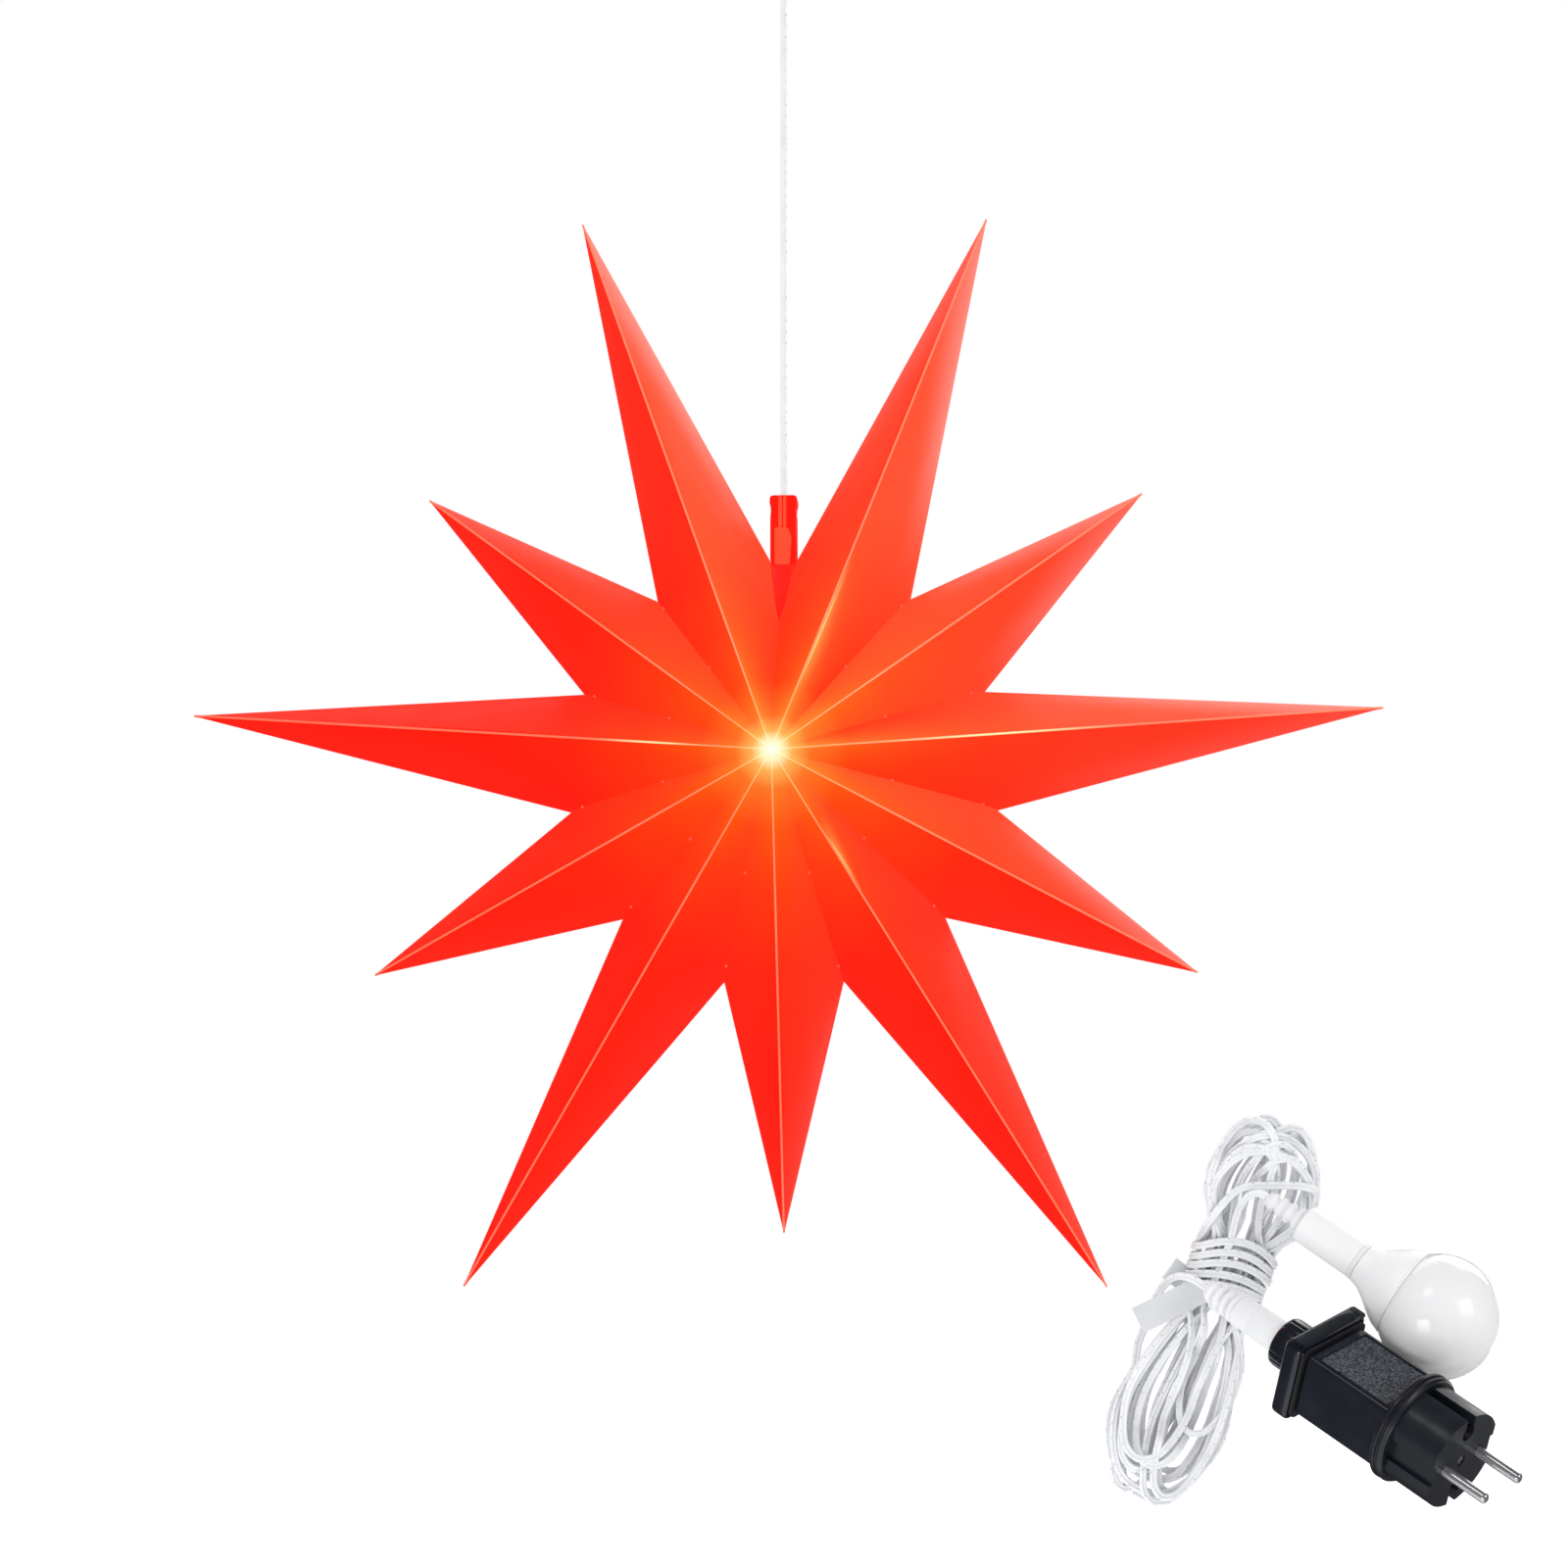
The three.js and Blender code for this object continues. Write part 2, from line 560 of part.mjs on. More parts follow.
// A flat cord wound through many points: its width lies along flatAxis, its thickness across that
function woundRings(points, flatAxis, sides) {
  return points.map((point, i) => {
    const before = new THREE.Vector3(...points[Math.max(i - 1, 0)]);
    const after = new THREE.Vector3(...points[Math.min(i + 1, points.length - 1)]);
    const ahead = after.sub(before).normalize();
    const normal = new THREE.Vector3().crossVectors(ahead, flatAxis).normalize();
    const flat = new THREE.Vector3().crossVectors(normal, ahead);
    return Array.from({ length: sides }, (_, k) => {
      const angle = k * 2 * Math.PI / sides;
      const corner = new THREE.Vector3(...point).addScaledVector(normal, CORD_THICK / 2 * Math.cos(angle));
      return corner.addScaledVector(flat, CORD_WIDTH / 2 * Math.sin(angle)).toArray();
    });
  });
}

// The least gap between two stretches of one wound cord, measured between points on its surface
function leastGap(rings, apart) {
  const between = 4;
  const partWay = (ring, next, share) => ring.map((corner, i) => (
    corner.map((n, axis) => THREE.MathUtils.lerp(n, next[i][axis], share))
  ));
  const points = rings.slice(0, -1).flatMap((ring, k) => (
    Array.from({ length: between }, (_, m) => partWay(ring, rings[k + 1], m / between))
  ));
  let least = Infinity;
  for (let k = 0; k < points.length; k += 1) {
    for (let m = k + apart * between; m < points.length; m += 1) {
      const [a, b] = [points[k], points[m]];
      if (Math.hypot(a[0][0] - b[0][0], a[0][1] - b[0][1], a[0][2] - b[0][2]) > 3 * CORD_WIDTH) continue;
      a.forEach((p) => b.forEach((q) => {
        least = Math.min(least, Math.hypot(p[0] - q[0], p[1] - q[1], p[2] - q[2]));
      }));
    }
  }
  return least;
}

// How far the cord has climbed to the next layer, by the turns since the layer's end
const climb = (turns) => THREE.MathUtils.smoothstep(turns, -CLIMB_SHARE, CLIMB_SHARE);

function hankPoints() {
  const rows = runShares.length;
  const loopSteps = 2 * (rows + 1);
  const loops = LAYER_COUNT * LOOPS_PER_LAYER;
  const steps = (loops - 1) * loopSteps + HANK_TAIL_STEPS;
  const points = [];
  for (let step = 0; step <= steps; step += 1) {
    const turn = step / loopSteps;
    const layer = Math.floor(turn / LOOPS_PER_LAYER);
    const into = turn - layer * LOOPS_PER_LAYER;
    const inward = layer % 2 === 0 ? into : LOOPS_PER_LAYER - into;
    const toNext = climb(into - LOOPS_PER_LAYER);
    const fromLast = layer > 0 ? climb(into) - 1 : 0;
    const height = Math.min(layer + toNext + fromLast, LAYER_COUNT - 1);
    // Steps go down the left run from its starting row, round the lower end, up the right run and over
    const place = (step + rows - HANK_START_ROW) % loopSteps;
    const onLeft = place < rows;
    const onRight = place > rows && place < loopSteps - 1;
    const row = onLeft ? runShares[rows - 1 - place] : runShares[place - rows - 1];
    const end = place === rows ? [-1, 0, 0] : [1, 0, 0];
    const [lengthShare, widthShare, drawn] = onLeft || onRight ? row : end;
    const length = (lengthShare < 0 ? HANK_BOTTOM : HANK_TOP) - inward * LOBE_STEP;
    const [lobe, waist] = [HANK_LOBE - inward * LOBE_STEP, HANK_WAIST - inward * WAIST_STEP];
    const wide = THREE.MathUtils.lerp(lobe, waist, drawn);
    const middleLayer = (LAYER_COUNT - 1) / 2;
    points.push([
      (onLeft ? -1 : 1) * widthShare * wide, (middleLayer - height) * LAYER_STEP, lengthShare * length,
    ]);
  }
  return points;
}

// A point on a rounded rectangle, by its share of the way round from the middle of its +X side
function roundedPoint(halfX, halfY, corner, share) {
  const [flatX, flatY, arc] = [halfX - corner, halfY - corner, corner * Math.PI / 2];
  const stretches = [flatY, arc, 2 * flatX, arc, 2 * flatY, arc, 2 * flatX, arc, flatY];
  const total = stretches.reduce((sum, n) => sum + n, 0);
  let left = (share - Math.floor(share)) * total;
  const starts = [
    [halfX, 0], [flatX, flatY], [flatX, halfY], [-flatX, flatY], [-halfX, flatY],
    [-flatX, -flatY], [-flatX, -halfY], [flatX, -flatY], [halfX, -flatY],
  ];
  let index = 0;
  while (index < stretches.length - 1 && left > stretches[index]) {
    left -= stretches[index];
    index += 1;
  }
  const heading = Math.PI / 2 * Math.ceil((index + 1) / 2);
  const [x, y] = starts[index];
  if (index % 2 === 0) return [x + left * Math.cos(heading), y + left * Math.sin(heading)];
  const angle = heading - Math.PI / 2 + left / corner;
  return [x + corner * Math.cos(angle), y + corner * Math.sin(angle)];
}

function tiePoints() {
  const off = CORD_THICK / 2 + TIE_GAP;
  const halfX = HANK_WAIST + CORD_THICK / 2 + off;
  const halfY = (LAYER_COUNT - 1) / 2 * LAYER_STEP + CORD_WIDTH / 2 + off;
  const steps = Math.round(TIE_TURNS * TIE_LOOP_STEPS);
  return Array.from({ length: steps + 1 }, (_, i) => {
    const turn = i / TIE_LOOP_STEPS;
    return [...roundedPoint(halfX, halfY, TIE_CORNER, TIE_START_TURN + turn), TIE_START + turn * TIE_STEP];
  });
}

function wound(name, points, flatAxis) {
  const rings = woundRings(points, flatAxis, HANK_SIDES);
  console.log(`${name}: least gap to itself ${leastGap(rings, TIE_LOOP_STEPS / 3).toFixed(2)} mm`);
  return named(name, loft(rings, fan(HANK_SIDES)), finishes.cord);
}

function tag() {
  const plate = new THREE.ExtrudeGeometry(roundedShape(TAG_LENGTH, TAG_HEIGHT, TAG_CORNER), {
    depth: TAG_THICK, bevelEnabled: false, curveSegments: 2,
  });
  const front = (LAYER_COUNT - 1) / 2 * LAYER_STEP + CORD_WIDTH / 2 + CORD_THICK + TIE_GAP + 2 * CLEARANCE;
  const lean = radians(TAG_LEAN);
  return plate.rotateX(Math.PI / 2).rotateY(-lean).translate(-TAG_LEFT, -front, -TAG_DOWN);
}

// Ceiling hook and the loop in the star's lead
function ceilingHook() {
  const plate = turned([
    [0, 0], [PLATE_RADIUS, 0], [PLATE_RADIUS, -PLATE_THICK + PLATE_EDGE],
    [PLATE_RADIUS - PLATE_EDGE, -PLATE_THICK], [0, -PLATE_THICK],
  ]);
  const middle = -HOOK_BOTTOM + HOOK_RADIUS;
  const bends = 14;
  const path = [[0, 0, -PLATE_THICK / 2], [0, 0, middle + 1.5 * HOOK_RADIUS]];
  for (let i = 0; i <= bends; i += 1) {
    const angle = radians(THREE.MathUtils.lerp(HOOK_START, HOOK_END, i / bends));
    path.push([HOOK_RADIUS * Math.cos(angle), 0, middle + HOOK_RADIUS * Math.sin(angle)]);
  }
  const curve = new THREE.CatmullRomCurve3(path.map((p) => new THREE.Vector3(...p)), false, 'centripetal');
  const section = new THREE.Shape().absarc(0, 0, HOOK_WIRE, 0, 2 * Math.PI);
  const wire = new THREE.ExtrudeGeometry(section, {
    steps: path.length, extrudePath: curve, bevelEnabled: false, curveSegments: CORD_SIDES / 2,
  });
  return join(plate, wire);
}

const LOOP_TOP = -HOOK_BOTTOM + HOOK_WIRE + LOOP_PLAY + CORD_WIDTH / 2;
const FERRULE_TOP = LOOP_TOP - LOOP_HEIGHT;
const FERRULE_FOOT = FERRULE_TOP - FERRULE_LENGTH;

function leadLoop() {
  const steps = 20;
  const rings = Array.from({ length: steps }, (_, i) => {
    const angle = i * 2 * Math.PI / steps;
    const [across, up] = [Math.sin(angle), Math.cos(angle)];
    const middle = new THREE.Vector3(0, LOOP_HALF_WIDTH * across, LOOP_TOP - LOOP_HEIGHT / 2 * (1 - up));
    const out = new THREE.Vector3(0, across / LOOP_HALF_WIDTH, up * 2 / LOOP_HEIGHT).normalize();
    return Array.from({ length: CORD_SIDES }, (_, k) => {
      const turn = k * 2 * Math.PI / CORD_SIDES;
      const corner = middle.clone().addScaledVector(out, CORD_WIDTH / 2 * Math.cos(turn));
      return [corner.x + CORD_THICK / 2 * Math.sin(turn), corner.y, corner.z];
    });
  });
  const eye = loft([...rings, rings[0]], []);
  const ferrule = turned([
    [0, FERRULE_TOP + FERRULE_RADIUS], [FERRULE_RADIUS, FERRULE_TOP + FERRULE_RADIUS],
    [FERRULE_RADIUS, FERRULE_FOOT], [0, FERRULE_FOOT],
  ], SMALL_ROUND_STEPS);
  return join(eye, ferrule);
}

// Supply
const NUT_FOOT = -COVER_THICK - CLEARANCE;
const SLEEVE_FRONT = -COVER_THICK - SPOUT_LENGTH - CLEARANCE;
const HOUSING_START = GASKET_THICK + 2 * CLEARANCE;
const HOUSING_END = HOUSING_START + HOUSING_LENGTH;
const COLLAR_START = HOUSING_END + CLEARANCE;
const FRONT_START = COLLAR_START + COLLAR_THICK;
const FACE = FRONT_START + FRONT_LENGTH;

function rearCover() {
  const flange = roundedBlock(COVER_WIDTH, COVER_HEIGHT, COVER_CORNER, -COVER_THICK, 0);
  const spout = turnedAlongX([
    [0, -COVER_THICK - SPOUT_LENGTH], [SPOUT_RADIUS, -COVER_THICK - SPOUT_LENGTH],
    [SPOUT_RADIUS, -COVER_THICK / 2], [0, -COVER_THICK / 2],
  ], ROUND_STEPS);
  return join(flange, spout);
}

function unionNut() {
  const bore = SPOUT_RADIUS + CLEARANCE;
  const ring = turnedAlongX([
    [bore, NUT_FOOT], [NUT_RADIUS, NUT_FOOT], [NUT_RADIUS, NUT_FOOT - NUT_LENGTH],
    [bore, NUT_FOOT - NUT_LENGTH], [bore, NUT_FOOT],
  ], 2 * NUT_GRIPS);
  const grooveMiddle = NUT_FOOT - NUT_LENGTH / 2 - OVERRUN;
  const grooves = Array.from({ length: NUT_GRIPS }, (_, i) => {
    const groove = box([NUT_LENGTH, NUT_GRIP_DEPTH, 2 * NUT_GRIP_DEPTH], [grooveMiddle, 0, NUT_RADIUS]);
    return groove.rotateX(i * 2 * Math.PI / NUT_GRIPS);
  });
  return cut(ring, ...grooves);
}

function connectorSleeve() {
  const back = SLEEVE_FRONT - SLEEVE_LENGTH;
  const tail = ribbedRelief(SLEEVE_RELIEF, SLEEVE_TIP_RADIUS, SLEEVE_RADIUS - RELIEF_GROOVE, SLEEVE_RIBS);
  const tip = back - SLEEVE_RELIEF;
  const profile = tail.slice(0, -1).map(([r, z]) => [r, tip - z]);
  return turnedAlongX([...profile, [SLEEVE_RADIUS, back], [SLEEVE_RADIUS, SLEEVE_FRONT], [0, SLEEVE_FRONT]]);
}

function coverGasket() {
  const [low, high] = [CLEARANCE, CLEARANCE + GASKET_THICK];
  const [width, height] = [HOUSING_WIDTH + 2 * GASKET_LIP, HOUSING_HEIGHT + 2 * GASKET_LIP];
  const outer = roundedBlock(width, height, HOUSING_CORNER, low, high);
  const hole = box(
    [GASKET_THICK + 2 * OVERRUN, HOUSING_WIDTH - 2 * HOUSING_WALL, HOUSING_HEIGHT - 2 * HOUSING_WALL],
    [(low + high) / 2, 0, 0],
  );
  return cut(outer, hole);
}

function housing() {
  const outer = roundedBlock(HOUSING_WIDTH, HOUSING_HEIGHT, HOUSING_CORNER, HOUSING_START, HOUSING_END);
  const hollow = box(
    [HOUSING_LENGTH + 2 * OVERRUN, HOUSING_WIDTH - 2 * HOUSING_WALL, HOUSING_HEIGHT - 2 * HOUSING_WALL],
    [(HOUSING_START + HOUSING_END) / 2, 0, 0],
  );
  return cut(outer, hollow);
}

function plugFront() {
  const groove = COLLAR_START + COLLAR_THICK / 2;
  const blank = turnedAlongX([
    [0, COLLAR_START], [COLLAR_RADIUS, COLLAR_START], [COLLAR_RADIUS, groove - COLLAR_GROOVE / 2],
    [COLLAR_RADIUS - COLLAR_GROOVE, groove], [COLLAR_RADIUS, groove + COLLAR_GROOVE / 2],
    [COLLAR_RADIUS, FRONT_START], [FRONT_RADIUS, FRONT_START], [FRONT_RADIUS, FACE], [0, FACE],
  ], LARGE_ROUND_STEPS);
  const overFront = FRONT_LENGTH + OVERRUN;
  const flats = [-1, 1].map((side) => (
    box(
      [overFront, COLLAR_RADIUS, 2 * COLLAR_RADIUS],
      [FRONT_START + overFront / 2, side * (FRONT_FLAT + COLLAR_RADIUS / 2), 0],
    )
  ));
  const slots = [-1, 1].flatMap((side) => {
    const floor = FRONT_RADIUS - EARTH_SLOT_DEPTH;
    const slot = box(
      [overFront, EARTH_SLOT_WIDTH, FRONT_RADIUS],
      [FRONT_START + overFront / 2, 0, side * (floor + FRONT_RADIUS / 2)],
    );
    const hole = turnedAlongX([
      [0, FRONT_START], [EARTH_HOLE_RADIUS, FRONT_START],
      [EARTH_HOLE_RADIUS, FACE + OVERRUN], [0, FACE + OVERRUN],
    ], SMALL_ROUND_STEPS).translate(0, 0, side * floor);
    return [slot, hole];
  });
  const pocket = turnedAlongX([
    [0, COLLAR_START - OVERRUN], [FRONT_POCKET_RADIUS, COLLAR_START - OVERRUN],
    [FRONT_POCKET_RADIUS, COLLAR_START + FRONT_POCKET_DEPTH], [0, COLLAR_START + FRONT_POCKET_DEPTH],
  ], ROUND_STEPS);
  const pinHoles = [-1, 1].map((side) => turnedAlongX([
    [0, FACE - PIN_ROOT - CLEARANCE], [PIN_RADIUS + CLEARANCE, FACE - PIN_ROOT - CLEARANCE],
    [PIN_RADIUS + CLEARANCE, FACE + OVERRUN], [0, FACE + OVERRUN],
  ], SMALL_ROUND_STEPS).translate(0, side * PIN_SPACING / 2, 0));
  const screwHole = turnedAlongX([
    [0, FACE - SCREW_SINK - SCREW_LENGTH - CLEARANCE],
    [SCREW_RADIUS + CLEARANCE, FACE - SCREW_SINK - SCREW_LENGTH - CLEARANCE],
    [SCREW_RADIUS + CLEARANCE, FACE + OVERRUN], [0, FACE + OVERRUN],
  ], SMALL_ROUND_STEPS);
  return cut(blank, ...flats, ...slots, pocket, ...pinHoles, screwHole);
}

function pin(side) {
  const tip = FACE + PIN_LENGTH;
  return turnedAlongX([
    [0, FACE - PIN_ROOT], [PIN_RADIUS, FACE - PIN_ROOT], [PIN_RADIUS, tip - PIN_NOSE],
    [PIN_RADIUS - PIN_NOSE / 2, tip - PIN_NOSE / 3], [PIN_RADIUS / 3, tip], [0, tip],
  ], SMALL_ROUND_STEPS).translate(0, side * PIN_SPACING / 2, 0);
}

function centreScrew() {
  const head = FACE - SCREW_SINK;
  return turnedAlongX([
    [0, head - SCREW_LENGTH], [SCREW_RADIUS, head - SCREW_LENGTH], [SCREW_RADIUS, head], [0, head],
  ], SMALL_ROUND_STEPS);
}

const BOARD_TOP = -BOARD_DROP + BOARD_THICK / 2;
const BOARD_MIDDLE = (HOUSING_START + HOUSING_END) / 2;
const CORE_MIDDLE = BOARD_MIDDLE - BOARD_LENGTH / 2 + CORE_SIZE / 2 + CLEARANCE;

function circuitBoard() {
  return box([BOARD_LENGTH, BOARD_WIDTH, BOARD_THICK], [BOARD_MIDDLE, 0, -BOARD_DROP]);
}

// Transformer: a core of two plates and a post stands on the board, with its winding round the post
const CORE_FOOT = BOARD_TOP + CLEARANCE;
const CORE_TOP = CORE_FOOT + CORE_SIZE;

function transformerCore() {
  const plates = [CORE_FOOT + CORE_PLATE / 2, CORE_TOP - CORE_PLATE / 2].map((middle) => (
    box([CORE_SIZE, CORE_SIZE, CORE_PLATE], [CORE_MIDDLE, 0, middle])
  ));
  const post = disc(WINDING_BORE - CLEARANCE, CORE_FOOT, CORE_TOP, SMALL_ROUND_STEPS);
  return join(...plates, post.translate(CORE_MIDDLE, 0, 0));
}

function winding() {
  const [low, high] = [CORE_FOOT + CORE_PLATE + CLEARANCE, CORE_TOP - CORE_PLATE - CLEARANCE];
  return turned([
    [WINDING_BORE, low], [WINDING_RADIUS, low],
    [WINDING_RADIUS, high], [WINDING_BORE, high], [WINDING_BORE, low],
  ]).translate(CORE_MIDDLE, 0, 0);
}

function capacitor() {
  const place = BOARD_MIDDLE + BOARD_LENGTH / 2 - CAPACITOR_RADIUS - 2 * CLEARANCE;
  return disc(CAPACITOR_RADIUS, CORE_FOOT, CORE_FOOT + CAPACITOR_HEIGHT, ROUND_STEPS).translate(place, 0, 0);
}

function supply() {
  return group(
    named('connector_sleeve', connectorSleeve(), finishes.softWhite),
    named('union_nut', unionNut(), finishes.blackPlastic),
    named('supply_rear_cover', rearCover(), finishes.blackPlastic),
    named('supply_gasket', coverGasket(), finishes.rubber),
    named('supply_housing', housing(), finishes.blackPlastic),
    named('plug_front', plugFront(), finishes.blackPlastic),
    named('plug_pin_left', pin(-1), finishes.steel),
    named('plug_pin_right', pin(1), finishes.steel),
    named('centre_screw', centreScrew(), finishes.steel),
    named('circuit_board', circuitBoard(), finishes.board),
    named('transformer_core', transformerCore(), finishes.ferrite),
    named('transformer_winding', winding(), finishes.copper),
    named('capacitor', capacitor(), finishes.blackPlastic),
  );
}

function placed(part, place, order, [x, y, z]) {
  part.position.set(...place);
  part.rotation.set(radians(x), radians(y), radians(z), order);
  return part;
}

function star() {
  const hungLamp = lamp('star');
  hungLamp.position.z = LAMP_DROP;
  const inner = cordAlong([[0, 0, CLIP_TOP], [0, 0, LAMP_DROP + CLEARANCE]], 4);
  const whole = group(
    ...starLeaves(),
    named('clip_left_half', clipHalf(-1), finishes.clip),
    named('clip_right_half', clipHalf(1), finishes.clip),
    named('clip_latch', clipLatch(), finishes.clip),
    named('star_inner_lead', inner, finishes.cord),
    hungLamp,
  );
  whole.position.z = -STAR_DROP;
  return whole;
}

function hanger() {
  const [top, foot] = [FERRULE_FOOT - CLEARANCE, -STAR_DROP + CLIP_TOP + CLEARANCE];
  return group(
    named('ceiling_hook', ceilingHook(), finishes.steel),
    named('lead_loop', leadLoop(), finishes.cord),
    named('star_lead', cordAlong([[0, 0, top], [0, 0, foot]], 12), finishes.cord),
  );
}

function lampSet() {
  const hank = group(
    wound('set_lead_hank', hankPoints(), new THREE.Vector3(0, 1, 0)),
    wound('set_lead_tie', [...tiePoints(), ...stretchToTie], new THREE.Vector3(0, 0, 1)),
    named('set_lead_to_lamp', cordAlong(stretchToLamp, 2), finishes.cord),
    named('set_lead_to_supply', cordAlong(stretchToSupply, 2), finishes.cord),
    named('set_lead_tag', tag(), finishes.tag),
  );
  const whole = group(
    placed(hank, HANK_PLACE, 'XYZ', [0, HANK_LEAN, 0]),
    placed(lamp('set'), SET_LAMP_PLACE, 'ZYX', [0, SET_LAMP_LEAN, SET_LAMP_TURN]),
    placed(supply(), SUPPLY_PLACE, 'ZYX', [SUPPLY_ROLL, SUPPLY_DIP, SUPPLY_TURN]),
  );
  return placed(whole, plus(SET_PLACE, [0, 0, -STAR_DROP]), 'ZXY', [SET_TIP, 0, SET_TURN]);
}

export default group(hanger(), star(), lampSet());
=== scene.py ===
# LED Christmas star: the looks of every piece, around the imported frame.
# Sizes are in millimetres, as in the part's source, and every mesh is made in metres.

import random
from math import acos, asin, atan2, ceil, copysign, cos, degrees, hypot, pi, radians, sin, sqrt
import bmesh
import bpy
from mathutils import Matrix, Vector, geometry, noise


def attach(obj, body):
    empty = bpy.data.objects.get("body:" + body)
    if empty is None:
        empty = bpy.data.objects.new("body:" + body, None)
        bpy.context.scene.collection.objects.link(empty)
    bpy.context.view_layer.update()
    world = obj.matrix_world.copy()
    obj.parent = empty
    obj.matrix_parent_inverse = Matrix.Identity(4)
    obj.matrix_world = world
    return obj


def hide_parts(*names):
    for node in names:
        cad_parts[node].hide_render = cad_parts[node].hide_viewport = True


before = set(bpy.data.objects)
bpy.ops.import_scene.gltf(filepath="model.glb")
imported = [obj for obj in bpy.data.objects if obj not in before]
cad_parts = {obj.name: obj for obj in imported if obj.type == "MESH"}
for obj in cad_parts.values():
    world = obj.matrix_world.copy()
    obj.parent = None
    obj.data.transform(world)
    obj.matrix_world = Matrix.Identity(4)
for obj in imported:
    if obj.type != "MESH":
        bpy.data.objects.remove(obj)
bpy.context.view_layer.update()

MM = 0.001

# Star
STAR_DROP = 375  # ceiling to the star's centre
LONG_RAY = 250  # centre to tip
SHORT_RAY = 190
NOTCH_RADIUS = 90
HALF_DEPTH = 90
RAY_COUNT = 11
TOP_GAP = 40  # degrees between the two rays beside the clip
RAY_STEP = (360 - TOP_GAP) / (RAY_COUNT - 1)
VALLEY_ROLL = 0.15  # how softly a valley and a ridge turn over the edge from front to back
RIDGE_ROLL = 0.02
SLIT_END = 0.6  # share of the notch radius where the slit beside the clip ends
SLIT_EASE = 0.35  # share of the slit over which it comes to its width
FILM_THICK = 0.5
FILM_LAP = 0.2  # of neighbouring sheets at a valley
FILM_BULGE = 1.1
FILM_WAVE = 0.7
FILM_WAVE_STEP = 0.022  # of the noise that waves it, for a millimetre
FILM_ROWS = 60  # from the edge to a point
FILM_ROW_EASE = 1.35  # rows lie closer together at the edge
FILM_COLUMNS = 12
APEX_SHARE = 0.012  # where the sheets stop short of the front and back points
SEAM_WIDTH = 0.8
SEAM_HEIGHT = 0.6
SEAM_TAPER = 60  # length over which it narrows to the tip
SEAM_ROWS = 90
SEAM_ROW_EASE = 1.6
WELD_RADIUS = 0.7
WELD_HEIGHT = 0.4
SLANTED = (0.31, 0.2, 0.93)  # a direction that no weld faces
weld_shares = [0.52, 0.93]  # of a valley, from the point to the notch
WINDOW_PLACE = (195, -300, 220)  # painted daylight on the sheets comes from there
WINDOW_REACH = 390  # its light is full that far from there and fades beyond
WINDOW_FADING = 5
WINDOW_MOST = 1.11
WINDOW_FACING = (-1.73, 0.66)  # a sheet's facing with none and all of it
WINDOW_CONTRAST = 1.3
SHEET_MIDDLE = (0.3, 0.55)  # as shares of the step between rays and of the ray
EDGE_SHARE = 0.3  # of the depth, where a painted sheen lies along the star's outline
SHORT_SHADING = 0.35  # painted shade of a short ray's sheets towards their valleys, against a long one's
seam_glints = {2: (0.15, 0.6), 8: (0.1, 0.3)}  # ray: where a painted glint lies on its seam, as shares of the ray
GLINT_PEAK = 0.45  # where a painted glint is brightest, as a share of its length
sheet_glints = {(0, 1): (0.07, 0.38), (4, -1): (0.15, 0.27)}  # ray and side: where a painted glint lies on the sheet by its seam

# Clip
CLIP_TOP = 117
CLIP_WIDTH = 11
CLIP_DEPTH = 13
CLIP_SPLIT = 0.04  # half the gap between the clip's halves
LATCH_DROP = 14
LATCH_HEIGHT = 15.5
LATCH_WIDTH = 7
LATCH_THICK = 1.6
LATCH_CORNER = 2.6
CLEARANCE = 0.3

# Lead, a flat twin cord
CORD_WIDTH = 2.9
CORE_RADIUS = 0.82
CORE_PLACE = 0.63  # cord's middle to a core's middle
CORD_WEB = 0.32  # half the thickness between the cores
CORD_SIDES = 16
CORD_SPACING = 1.6  # between rings of its mesh
TICK_STEP = 4.9
MARKED_CORNER = 2  # of the section, where the ticks are

# Lamp, on its own axis from the cord's end of the strain relief at 0 down to the globe
LAMP_DROP = 51
RELIEF_LENGTH = 15
RELIEF_TIP = 2.9
RELIEF_ROOT = 4.3
RELIEF_LUMPS = 4
RELIEF_SWELL = 0.1  # of its lumps, and the depth of its slots, as shares of its radius
RELIEF_SLOT = 0.24
HOLDER_LENGTH = 24
HOLDER_RADIUS = 7.1
HOLDER_BORE = 5.6
HOLDER_FLOOR = 3
SEAL_RADIUS = 7
SEAL_THICK = 1.2
SEAL_SWELL = 0.25  # pressed out above and below
CAP_RADIUS = 5.1
CAP_LENGTH = 17
BULB_NECK = 7.5
BULB_LENGTH = 19
BULB_WALL = 1.6
GLOBE_RADIUS = 22.5
GLOBE_WALL = 1.2
GLOBE_LIP = 2
SEAM_RADIUS = 16.8
HOLDER_TOP = -RELIEF_LENGTH - CLEARANCE
HOLDER_FOOT = HOLDER_TOP - HOLDER_LENGTH
SEAL_TOP = HOLDER_FOOT - CLEARANCE
BULB_TOP = SEAL_TOP - SEAL_THICK - CLEARANCE
BULB_FOOT = BULB_TOP - BULB_LENGTH
GLOBE_MIDDLE = BULB_FOOT - sqrt(GLOBE_RADIUS ** 2 - SEAM_RADIUS ** 2)

# Ceiling hook and the loop in the star's lead
PLATE_RADIUS = 20
PLATE_THICK = 4
HOOK_WIRE = 1.5
HOOK_RADIUS = 6
HOOK_BOTTOM = 22
HOOK_START = 130
HOOK_END = 375
LOOP_HALF_WIDTH = 4.4
LOOP_HEIGHT = 14
LOOP_TOP = -18.55
FERRULE_RADIUS = 2.4
FERRULE_LENGTH = 7
FERRULE_TOP = LOOP_TOP - LOOP_HEIGHT
FERRULE_FOOT = FERRULE_TOP - FERRULE_LENGTH

